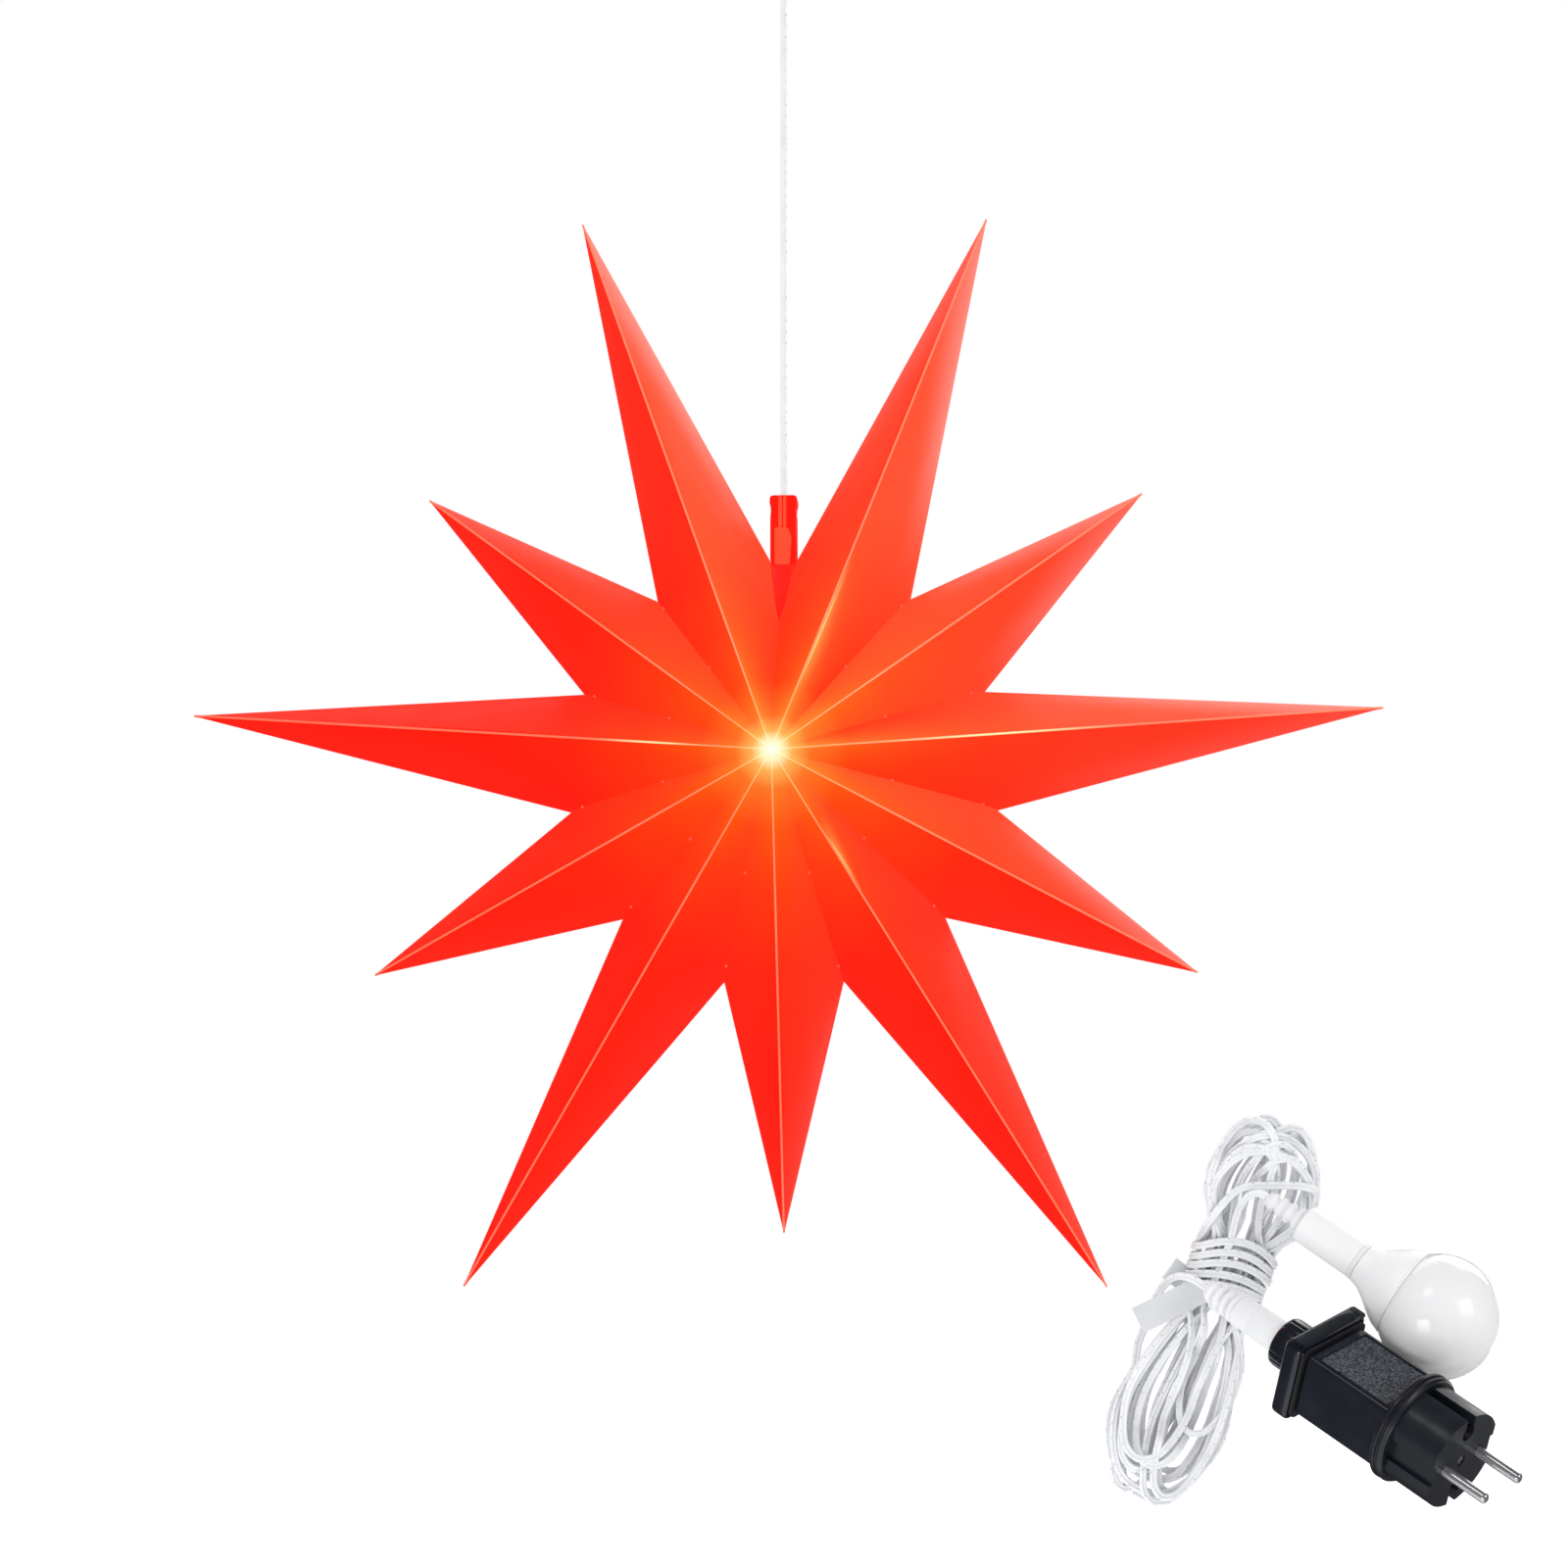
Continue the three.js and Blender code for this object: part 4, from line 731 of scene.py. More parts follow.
def between(points, share, index):
    """A point between points index and index + 1 on the centripetal curve through them all."""
    p1, p2 = points[index], points[index + 1]
    p0 = points[index - 1] if index > 0 else 2 * p1 - p2
    p3 = points[index + 2] if index + 2 < len(points) else 2 * p2 - p1
    t1 = (p1 - p0).length ** 0.5
    t2 = t1 + (p2 - p1).length ** 0.5
    t3 = t2 + (p3 - p2).length ** 0.5
    t = mix(t1, t2, share)
    a1, a2, a3 = mix(p0, p1, t / t1), mix(p1, p2, (t - t1) / (t2 - t1)), mix(p2, p3, (t - t2) / (t3 - t2))
    b1, b2 = mix(a1, a2, t / t2), mix(a2, a3, (t - t1) / (t3 - t1))
    return mix(b1, b2, (t - t1) / (t2 - t1))


def smoothed(points, hints, spacing):
    """Points about spacing apart on the curve through points, with hints to match."""
    points = [Vector(point) for point in points]
    path, turned = [], []
    for i in range(len(points) - 1):
        steps = max(1, ceil((points[i + 1] - points[i]).length / spacing))
        for k in range(steps):
            path.append(between(points, k / steps, i))
            turned.append(mix(hints[i], hints[i + 1], k / steps))
    return path + [points[-1]], turned + [hints[-1]]


# Cords
def cord_section():
    """Two cores side by side with a web between them."""
    section = []
    for i, (across, up) in enumerate(circle(CORD_WIDTH / 2, CORD_SIDES)):
        off = abs(across) - CORE_PLACE
        thick = sqrt(max(CORE_RADIUS ** 2 - off ** 2, 0)) if abs(across) > 0.1 else CORD_WEB
        section.append((across, copysign(thick, up) if i % (CORD_SIDES // 2) else 0))
    return section


def cord(name, points, hints, place, body, nodes):
    """A twin cord along points. Gives the piece and its path in metres."""
    path, turned = smoothed(points, hints, CORD_SPACING)
    run, kept = 0, {"along": [], "core": []}
    for i, point in enumerate(path):
        run += (point - path[max(i - 1, 0)]).length
        kept["along"] += [run] * CORD_SIDES
        kept["core"] += [float(k == MARKED_CORNER) for k in range(CORD_SIDES)]
    obj = piece(name, loft(swept(path, cord_section(), turned)), place, body, lead, nodes, kept, sharp=75)
    return obj, [place @ point * MM for point in path]


# Hank
def lie_of_turn(at_bottom, number):
    """Where one turn of the hank lies across a lobe: its centre, its half width and its reach."""
    if at_bottom and number in front_turns:
        return front_turns[number]
    seeded = random.Random(number * 2 + (not at_bottom))
    if number % WIDE_TURNS == 1:
        half = HANK_LOBE - WIDE_STRAY * seeded.random()
        place = seeded.uniform(-1, 1)
    else:
        half = mix(FOLD_HALF, WIDEST_FOLD, seeded.random())
        place = mix(-1, 1, (number * GOLDEN + (0 if at_bottom else TOP_OFFSET)) % 1)
    return place * (HANK_LOBE - half), half, 1 - LOBE_SHORTENING * seeded.random() ** 1.5


def hank_point(step, steps):
    """A point of the hank, with how far it is drawn in to the waist there."""
    rows = len(run_shares)
    loop_steps = 2 * (rows + 1)
    layer, into = divmod(step / loop_steps, LOOPS_PER_LAYER)
    inward = into if layer % 2 == 0 else LOOPS_PER_LAYER - into
    to_next = smoothstep(-CLIMB_SHARE, CLIMB_SHARE, into - LOOPS_PER_LAYER)
    from_last = smoothstep(-CLIMB_SHARE, CLIMB_SHARE, into) - 1 if layer > 0 else 0
    height = min(layer + to_next + from_last, LAYER_COUNT - 1)
    number, place = divmod(step + rows - HANK_START_ROW, loop_steps)
    on_left = place < rows
    if place in (rows, loop_steps - 1):
        length_share, width_share, drawn = -1 if place == rows else 1, 0, 0
    else:
        length_share, width_share, drawn = run_shares[rows - 1 - place if on_left else place - rows - 1]
    at_bottom = length_share < 0
    side = -1 if on_left else 1
    full = HANK_BOTTOM if at_bottom else HANK_TOP
    length = full - inward * LOBE_STEP
    y = ((LAYER_COUNT - 1) / 2 - height) * LAYER_STEP
    waist = HANK_WAIST - inward * WAIST_STEP + WAIST_SHIFT * (layer % 2)
    even_half = mix(HANK_LOBE - inward * LOBE_STEP, waist, drawn)
    evenly = Vector((side * width_share * even_half, y, length_share * length))
    centre, half, reach = lie_of_turn(at_bottom, number - (on_left and not at_bottom))
    x = side * width_share * mix(half, waist, drawn) + centre * (1 - drawn)
    loosely = Vector((x, y, length_share * mix(full * reach, length, drawn)))
    return mix(evenly, loosely, smoothstep(0, JOINED_STEPS, min(step, steps - step))), drawn


def piled(path, drawn):
    """Lays the strands in the lobes on one another, each turn on those behind it."""
    tops = {}
    around = range(-PILE_REACH, PILE_REACH + 1)

    def cells(point):
        column, row = round(point.x / PILE_CELL), round(point.z / PILE_CELL)
        return [(column + i, row + j) for i in around for j in around]

    start = 0
    while start < len(path):
        end = start
        while end < len(path) and (drawn[end] < 1) == (drawn[start] < 1):
            end += 1
        under = [max(tops.get(cell, 0) for cell in cells(point)) for point in path[start:end]]
        raised = [max(under[max(k - 2, 0):k + 3]) for k in range(len(under))]
        for k, point in enumerate(path[start:end]):
            near = raised[max(k - 3, 0):k + 4]
            height = sum(near) / len(near)
            for cell in cells(point):
                tops[cell] = max(tops.get(cell, 0), height + PILE_THICK)
            lying = PILE_BACK - min(height + PILE_THICK / 2, PILE_DEPTH)
            near_end = 1 - smoothstep(0, UNPILED_POINTS, min(start + k, len(path) - 1 - start - k))
            point.y = mix(lying, point.y, max(drawn[start + k], near_end))
        start = end


def hank_run():
    """The hank's points and hints. In the lobes the strands wander, cross and roll a little."""
    steps = (LAYER_COUNT * LOOPS_PER_LAYER - 1) * 2 * (len(run_shares) + 1) + HANK_TAIL_STEPS
    found = [hank_point(step, steps) for step in range(steps + 1)]
    path, drawn = smoothed([point for point, _ in found], [Vector((d, 0)) for _, d in found], PILE_SPACING)
    drawn = [min(max(value.x, 0), 1) for value in drawn]
    noise.seed_set(STRAY_SEED)
    for i, point in enumerate(path):
        stray = noise.noise_vector(Vector((i * STRAY_PACE, 4.2, 0.7))) * LOBE_STRAY * (1 - drawn[i])
        point += Vector((stray.x, 0, stray.z))
    piled(path, drawn)
    hints = []
    for i in range(len(path)):
        ahead = path[min(i + 1, len(path) - 1)] - path[max(i - 1, 0)]
        flat = ahead.cross(Vector((0, 1, 0))).normalized()
        loose = LOBE_ROLL * 2 * noise.noise(Vector((i * ROLL_PACE, 0.3, 9.1)))
        roll = radians(mix(loose, WAIST_ROLL, drawn[i]))
        hints.append(flat * cos(roll) + Vector((0, 1, 0)) * sin(roll))
    return path, hints


def tie_point(turns):
    """A point on the tie's rounded rectangle, and on its way along the hank."""
    flat_x, flat_y, bend = TIE_HALF_X - TIE_CORNER, TIE_HALF_Y - TIE_CORNER, TIE_CORNER * pi / 2
    stretches = [flat_y, bend, 2 * flat_x, bend, 2 * flat_y, bend, 2 * flat_x, bend, flat_y]
    left = (TIE_START_TURN + turns) % 1 * sum(stretches)
    x, y, heading = TIE_HALF_X, 0, pi / 2
    for index, stretch in enumerate(stretches):
        step = min(left, stretch)
        left -= step
        if index % 2 == 0:
            x, y = x + step * cos(heading), y + step * sin(heading)
        else:
            turned = heading + step / TIE_CORNER
            x += TIE_CORNER * (sin(turned) - sin(heading))
            y -= TIE_CORNER * (cos(turned) - cos(heading))
            heading = turned
    stray = TIE_STRAY * noise.noise(Vector((turns * 2.3, 1.7, 3.1)))
    loose = 1 + TIE_LOOSENESS * noise.noise(Vector((turns * 1.9, 6.7, 0.4)))
    arch = mix(*TIE_ARCH, turns / TIE_TURNS) * (1 - (x / TIE_HALF_X) ** 2) * (1 if y < 0 else 0.4)
    return Vector((x * loose, y * loose, TIE_START + turns * TIE_STEP + TIE_SLANT * x + stray + arch))


def facing_hints(points):
    """Hints that turn the cord's wide side to the viewer."""
    points = [Vector(point) for point in points]
    hints = []
    for i in range(len(points)):
        ahead = points[min(i + 1, len(points) - 1)] - points[max(i - 1, 0)]
        flat = Vector((ahead.x, 0, ahead.z)).cross(Vector((0, 1, 0)))
        hints.append(flat.normalized())
    return hints


def set_lead_run():
    """The whole lead of the set: from the lamp, under and round the waist, through the hank, to the supply."""
    in_front, out = stretch_to_lamp + stretch_under_tie, stretch_to_supply[::-1]
    tie = [tie_point(i / TIE_LOOP_STEPS) for i in range(round(TIE_TURNS * TIE_LOOP_STEPS) + 1)]
    coils, coil_hints = hank_run()
    points = [Vector(point) for point in in_front + tie + stretch_to_tie + coils[::-1] + out]
    hints = facing_hints(in_front) + [Vector((0, 0, 1))] * len(tie) + facing_hints(stretch_to_tie)
    hints += coil_hints[::-1] + facing_hints(out)
    for i in range(1, len(hints)):
        if hints[i].dot(hints[i - 1]) < 0:
            hints[i] = -hints[i]
    return points, hints


def make_camera():
    camera = add_object("camera", bpy.data.cameras.new("camera"))
    camera.data.lens = CAMERA_LENS
    camera.data.sensor_width = SENSOR_WIDTH
    camera.data.clip_end = CAMERA_SIGHT
    place = STAR @ VIEW @ Vector((0, -CAMERA_DISTANCE, -CAMERA_BELOW)) * MM
    camera.matrix_world = Matrix.Translation(place) @ VIEW @ turn("X", 90)
    bpy.context.scene.camera = camera


def taut_cord(name, top, foot, steps, body, nodes):
    points = [Vector((0, 0, mix(top, foot, i / steps))) for i in range(steps + 1)]
    return cord(name, points, [Vector((1, 0, 0))] * len(points), Matrix(), body, nodes)


def star_cords():
    """The taut lead from the ferrule to the clip, and its stretch inside the star."""
    top, foot = FERRULE_FOOT - CLEARANCE, -STAR_DROP + CLIP_TOP + CLEARANCE
    hung, path = taut_cord("star_lead_twin", top, foot, 24, "lead", ["star_lead"])
    eye = lead_loop()
    top, foot = -STAR_DROP + CLIP_TOP, -STAR_DROP + LAMP_DROP + CLEARANCE
    inner, path = taut_cord("star_lead_inside", top, foot, 12, "star", ["star_inner_lead"])


def set_cord(*on_it):
    points, hints = set_lead_run()
    nodes = ["set_lead_hank", "set_lead_tie", "set_lead_to_lamp", "set_lead_to_supply"]
    obj, path = cord("set_lead_twin", points, hints, HANK, "ceiling", nodes)


# Ceiling hook and loop
def lead_loop():
    points, outward = [], []
    for up, across in circle(1, 40):
        points.append(Vector((0, LOOP_HALF_WIDTH * across, LOOP_TOP - LOOP_HEIGHT / 2 * (1 - up))))
        outward.append(Vector((0, across / LOOP_HALF_WIDTH, up * 2 / LOOP_HEIGHT)).normalized())
    eye = loft(swept(points, cord_section(), outward, closed=True), closed=True)
    loop = piece("lead_eye", eye, Matrix(), "loop", lead, ["lead_loop"], {"along": 1.0, "core": 0.0}, sharp=75)
    top = FERRULE_TOP + FERRULE_RADIUS
    third = (top - FERRULE_FOOT) / 3
    profile = rounded([(FERRULE_RADIUS * size, top - third * drop) for size, drop in (
        (0, 0), (1, 0), (1, 0.8), (0.86, 1), (0.86, 2), (1, 2.2), (1, 3), (0, 3))], 0.4)
    piece("lead_ferrule", lathe(profile, 40), Matrix(), "loop", ferrule_white, ["lead_loop"])
    return loop


def ceiling_hook():
    foot = -PLATE_THICK
    plate = rounded([(0, 0), (PLATE_RADIUS, 0), (PLATE_RADIUS, foot + 1), (PLATE_RADIUS - 1.5, foot), (5, foot),
                     (4, foot - 0.8), (0, foot - 0.8)], 0.7)
    piece("ceiling_rose", lathe(plate, 72), Matrix(), "ceiling", nickel, ["ceiling_hook"])
    middle = -HOOK_BOTTOM + HOOK_RADIUS
    points = [(0, 0, foot / 2), (0, 0, middle + 1.5 * HOOK_RADIUS)]
    points += [(x, 0, z) for x, z in arc((0, middle), HOOK_RADIUS, HOOK_START, HOOK_END, 28)]
    path, turned = smoothed(points, [Vector((0, 1, 0))] * len(points), 0.6)
    wire = loft(swept(path, circle(HOOK_WIRE, 20), turned))
    piece("hook_wire", wire, Matrix(), "ceiling", nickel, ["ceiling_hook"])


# Star
def roll_span(roll):
    return hypot(1, roll) - roll


def narrowing(u, roll):
    """How much of its reach an edge keeps at the share u of the star's depth."""
    return 1 - (hypot(u, roll) - roll) / roll_span(roll)


def depth_where(scale, roll):
    """The share of the star's depth where narrowing gives scale."""
    return sqrt(((1 - scale) * roll_span(roll) + roll) ** 2 - roll ** 2)


FILM_END = depth_where(APEX_SHARE, VALLEY_ROLL)


def along(angle):
    """Outwards from the star's middle, so many degrees to the right of straight up."""
    return Vector((sin(radians(angle)), 0, cos(radians(angle))))


def across(angle):
    return Vector((cos(radians(angle)), 0, -sin(radians(angle))))


def star_place(angle, radius, u):
    return along(angle) * radius + Vector((0, u * HALF_DEPTH, 0))


def opened_slit(scale):
    """0 where the slit beside the clip ends and 1 at the notch."""
    return (scale - SLIT_END) / (1 - SLIT_END)


def slit_half(scale):
    opened = max(0, opened_slit(scale))
    return mix(-FILM_LAP / 2, CLIP_WIDTH / 2 + CLEARANCE, opened * smoothstep(0, SLIT_EASE, opened))


def ray_angle(number):
    return TOP_GAP / 2 + number * RAY_STEP


def ray_reach(number):
    return LONG_RAY if number % 2 == 0 else SHORT_RAY


def rows_from_front(count, ease):
    """Shares of the star's depth from the front point to the back one, closer together in the middle."""
    runs = [row / count - 1 for row in range(2 * count + 1)]
    return [copysign(FILM_END * abs(run) ** ease, run) for run in runs]


def painted_sheet_light(number, side):
    """How much painted daylight one sheet of a ray gets from the window."""
    angle = ray_angle(number)
    sideways, outwards = SHEET_MIDDLE
    middle = along(angle + side * RAY_STEP * sideways) * ray_reach(number) * outwards
    towards_window = Vector(WINDOW_PLACE) - middle
    facing = (across(angle) * side).dot(towards_window.normalized())
    near = min(WINDOW_MOST, (WINDOW_REACH / towards_window.length) ** WINDOW_FADING)
    return (smoothstep(*WINDOW_FACING, facing) * near) ** WINDOW_CONTRAST


def glint_along(spans, key, u, high):
    """A painted glint's strength at that share of a ray. Only the front has glints."""
    if u >= 0 or key not in spans:
        return 0.0
    start, end = spans[key]
    middle = mix(start, end, GLINT_PEAK)
    return smoothstep(start, middle, high) * (1 - smoothstep(middle, end, high))


def film_leaf(number, side):
    """One sheet, from its valley to its ridge and from the front point over the edge to the back point."""
    angle, reach = ray_angle(number), ray_reach(number)
    valley_angle = angle + side * RAY_STEP / 2
    beside_clip = number == (0 if side < 0 else RAY_COUNT - 1)
    shares = [column / FILM_COLUMNS for column in range(FILM_COLUMNS + 1)]
    # The material paints light and shade from these numbers: painted daylight, painted shade, a painted sheen by
    # the outline and painted glints
    kept = {"painted_light": painted_sheet_light(number, side), "shading": 1.0 if reach == LONG_RAY else SHORT_SHADING,
            "ridge_share": [], "edge": [], "glint": []}
    seed = Vector((number * 3.7, side * 1.9, 5.0))
    rings = []
    for u in rows_from_front(FILM_ROWS, FILM_ROW_EASE):
        low, high = narrowing(u, VALLEY_ROLL), narrowing(u, RIDGE_ROLL)
        if beside_clip:
            valley = Vector((-side * slit_half(low), 0, NOTCH_RADIUS * low))
        else:
            valley = along(valley_angle) * NOTCH_RADIUS * low + across(valley_angle) * side * FILM_LAP / 2
        ridge = along(angle) * reach * high + across(angle) * side * SEAM_WIDTH * 0.2
        outward = (ridge - valley).cross(Vector((0, 1, 0))).normalized()
        if outward.dot(along(valley_angle)) < 0:
            outward = -outward
        swell = 4 * abs(u) * (1 - abs(u))
        outer = []
        for share in shares:
            place = mix(valley, ridge, share) + Vector((0, u * HALF_DEPTH, 0))
            wave = FILM_WAVE * noise.noise(place * FILM_WAVE_STEP + seed)
            outer.append(place + outward * sin(pi * share) * swell * (FILM_BULGE + wave))
        thick = min(FILM_THICK, 0.3 * (ridge - valley).length)
        rings.append(outer + [point - outward * thick for point in reversed(outer)])
        kept["ridge_share"] += shares + shares[::-1]
        kept["edge"] += [1 - smoothstep(0, EDGE_SHARE, abs(u))] * 2 * len(shares)
        kept["glint"] += [glint_along(sheet_glints, (number, side), u, high)] * 2 * len(shares)
    name = f"{number + 1:02d}_{'left' if side < 0 else 'right'}"
    piece(f"film_{name}", loft(rings), STAR, "star", film, [f"leaf_{name}"], kept, sharp=60).visible_diffuse = False


def seam_strip(number):
    """The welded seam along a ray's ridge, proud of the sheets, from point to tip to point."""
    angle, reach = ray_angle(number), ray_reach(number)
    section = [(SEAM_WIDTH / 2 * a, SEAM_HEIGHT * b) for a, b in (
        (1, -0.5), (1, 0), (0.8, 0.35), (0.3, 0.55), (-0.3, 0.55), (-0.8, 0.35), (-1, 0), (-1, -0.5))]
    points, glint, sizes = [], [], []
    for u in rows_from_front(SEAM_ROWS, SEAM_ROW_EASE):
        high = narrowing(u, RIDGE_ROLL)
        points.append(star_place(angle, reach * high, u))
        glint += [glint_along(seam_glints, number, u, high)] * len(section)
        sizes.append(mix(0.4, 1, min(1, high * reach / SEAM_TAPER)))
    rings = swept(points, section, [-across(angle)] * len(points), sizes=sizes)
    # Painted daylight on the seam, from its two sheets
    kept = {"glint": glint, "painted_light": (painted_sheet_light(number, -1) + painted_sheet_light(number, 1)) / 2}
    strip = piece(f"seam_{number + 1:02d}", loft(rings), STAR, "star", seam, kept=kept, sharp=70)
    strip.visible_diffuse = False


def dome(place, outward, radius, height, sides=16):
    """A flat round drop of melted film."""
    hint = outward.cross(Vector(SLANTED)).normalized()
    other = outward.cross(hint)
    rows = [(1, -1), (1, 0), (0.86, 0.5), (0.5, 0.87), (0, 1)]
    vertices, faces = lathe([(radius * share, height * lift) for share, lift in rows], sides)
    return [place + hint * x + other * y + outward * z for x, y, z in vertices], faces + [tuple(range(sides))]


def valley_welds(number):
    """The welds that hold two neighbouring rays together along their valley, front and back."""
    angle = ray_angle(number) + RAY_STEP / 2
    drops = []
    for share in weld_shares:
        for side in (-1, 1):
            outward = (along(angle) * HALF_DEPTH + Vector((0, side * NOTCH_RADIUS, 0))).normalized()
            place = star_place(angle, NOTCH_RADIUS * share, side * depth_where(share, VALLEY_ROLL))
            drops.append(dome(place + outward * 0.9, outward, WELD_RADIUS, WELD_HEIGHT))
    piece(f"welds_{number + 1:02d}", together(*drops), STAR, "star", weld)


def apex_weld(side):
    """Where all eleven seams run together."""
    outward = Vector((0, side, 0))
    drop = dome(outward * HALF_DEPTH * FILM_END, outward, 1.7, 0.8, 33)
    name = f"point_{'front' if side < 0 else 'back'}"
    piece(name, drop, STAR, "star", seam, kept={"glint": 0.0, "painted_light": 1.0})


# Clip
def clip_half(side):
    """Half of the clip: soft corners, a dent at each side, a groove for the lead, and the flanges that
    narrow down between the two end sheets."""
    name = "left" if side < 0 else "right"
    groove_x, groove_y = CORD_WIDTH / 2 + CLEARANCE, CORE_RADIUS + CLEARANCE

    def flange(share):
        deep = depth_where(share, VALLEY_ROLL) * HALF_DEPTH - 1.8
        half = mix(0, CLIP_WIDTH / 2 + 0.15, opened_slit(share)) - 0.15
        return NOTCH_RADIUS * share, half, max(CLIP_DEPTH / 2, deep)

    def front_corner(half, deep, radius):
        radius = min(radius, half * 0.4)
        ring = [(CLIP_SPLIT, groove_y), (CLIP_SPLIT, deep)]
        return ring + arc((half - radius, deep - radius), radius, 90, 0, 5)

    stations = [(CLIP_TOP + z, half, CLIP_DEPTH / 2 - inset) for z, half, inset in (
        (0, 4.9, 0.8), (-0.35, 5.4, 0.3), (-1, 5.7, 0), (-3, 5.8, 0), (-4, 5.6, 0), (-5.2, 5.3, 0), (-7, 5.25, 0),
        (-8.6, 5.45, 0), (-11, 5.5, 0), (-22, 5.5, 0))]
    rings = []
    for z, half, deep in stations + [*map(flange, (1, 0.97, 0.94, 0.9, 0.85, 0.8))]:
        ring = front_corner(half, deep, 1.2)
        ring += [(x, -y) for x, y in reversed(ring)] + [(groove_x, -groove_y), (groove_x, groove_y)]
        rings.append([(side * x, y, z) for x, y in ring])
    parts = [loft(rings)]
    for facing in (-1, 1):
        rings = []
        for z, half, deep in map(flange, (0.81, 0.8, 0.76, 0.72, 0.69, 0.66, 0.63)):
            ring = front_corner(half, deep, 0.6) + [(half, groove_y)]
            rings.append([(side * x, facing * y, z) for x, y in ring])
        parts.append(loft(rings))
    shell = piece(f"clip_{name}_shell", together(*parts), STAR, "star", clip_red, [f"clip_{name}_half"], sharp=50)
    shell.visible_diffuse = False


def clip_rib(place_x, width, name):
    """A half-round rib down the clip's front, from its lip to its latch, in the lighter red of painted highlight.
    """
    top, foot, front = CLIP_TOP - 0.4, CLIP_TOP - LATCH_DROP + 0.3, -CLIP_DEPTH / 2
    rings = []
    for share in [row / 24 for row in range(25)]:
        ease = min(1, 6 * share, 6 * (1 - share)) ** 0.5
        half, high = width / 2 * mix(0.6, 1, ease), 0.5 * mix(0.3, 1, ease)
        ring = [(half * a, front - high * b) for a, b in arc((0, 0), 1, 0, 180, 8)]
        ring += [(-half, front + 0.5), (half, front + 0.5)]
        rings.append([(place_x + x, y, mix(top, foot, share)) for x, y in ring])
    piece(name, loft(rings), STAR, "star", painted_lit_red).visible_diffuse = False


def latch_plate():
    """The latch tab: a plate with soft edges and one cut corner, narrowing slightly to its foot."""
    half, top = LATCH_WIDTH / 2, CLIP_TOP - LATCH_DROP
    foot = top - LATCH_HEIGHT
    outline = rounded([
        (0, foot), (half - 0.8, foot), (half, top - LATCH_CORNER * 1.6), (half - LATCH_CORNER * 0.6, top),
        (-half, top), (-half, foot), (0, foot),
    ], 0.8)[:-1]
    middle = Vector((0, (top + foot) / 2))
    rings = []
    for inset, thick in ((0, 0), (0, 0.6), (0.25, 0.88), (0.7, 1)):
        y = -CLIP_DEPTH / 2 - CLEARANCE - LATCH_THICK * thick
        corners = [Vector(corner) + (middle - Vector(corner)).normalized() * inset for corner in outline]
        rings.append([(x, y, z) for x, z in corners])
    piece("latch_tab", loft(rings), STAR, "latch", painted_lit_red, ["clip_latch"]).visible_diffuse = False


# Lamp
def slotted_relief(length, tip, root, lumps):
    """Rings of a strain relief: round lumps with slots between them, staggered side by side."""
    rings = []
    for share in [row / 60 for row in range(61)]:
        wave = cos(2 * pi * share * lumps)
        radius = mix(tip, root, share) * (1 - RELIEF_SWELL * wave)
        cut = RELIEF_SLOT * max(0, wave) ** 2 if 0.06 < share < 0.95 else 0
        ring = []
        for x, y in circle(1, 36):
            size = radius * (1 - cut * abs(x if round(share * lumps) % 2 else y) ** 0.6)
            ring.append((size * x, size * y, -share * length))
        rings.append(ring)
    return rings


def lamp(prefix, place, body, seal_body, bulb_body, globe):
    middle, floor = HOLDER_TOP - HOLDER_LENGTH / 2, HOLDER_TOP - HOLDER_FLOOR
    holder = rounded([(0, HOLDER_TOP), (HOLDER_RADIUS, HOLDER_TOP), (HOLDER_RADIUS, middle)], 1.6, 6)
    holder += rounded([(HOLDER_RADIUS, middle - 1), (HOLDER_RADIUS, HOLDER_FOOT), (HOLDER_BORE, HOLDER_FOOT),
                       (HOLDER_BORE, floor), (0, floor)], 0.2)
    top, foot = SEAL_TOP + SEAL_SWELL, SEAL_TOP - SEAL_THICK - SEAL_SWELL
    inside, outside = CAP_RADIUS + CLEARANCE, SEAL_RADIUS + SEAL_SWELL
    seal = rounded([(inside, top), (outside, top), (outside, foot), (inside, foot)], 0.15)
    relief = slotted_relief(RELIEF_LENGTH, RELIEF_TIP, RELIEF_ROOT, RELIEF_LUMPS)
    for name, mesh, rides_on, kind, node, sharp in (
        ("relief_boot", loft(relief), body, soft_white, "strain_relief", 60),
        ("holder_shell", lathe(holder), body, white_plastic, "lamp_holder", 38),
        ("seal", lathe(seal, closed=True), seal_body, soft_white, "seal_ring", 38),
        ("bulb_bell", lathe(bell_profile(), 96), bulb_body, white_plastic, "bulb_body", 38),
        ("globe_shell", lathe(globe_profile(), 96), bulb_body, globe, "globe", 38),
    ):
        piece(f"{prefix}_{name}", mesh, place, rides_on, kind, [f"{prefix}_{node}"], sharp=sharp)
    dressed(f"{prefix}_led_board", board_white, 0.15)


def threaded(radius, depth, turns, steps, start, end):
    """A thread's outline from one height to another: its crests stand depth over radius."""
    shares = [i / steps for i in range(steps + 1)]
    return [(radius + depth * (1 - cos(2 * pi * turns * share)) / 2, mix(start, end, share)) for share in shares]


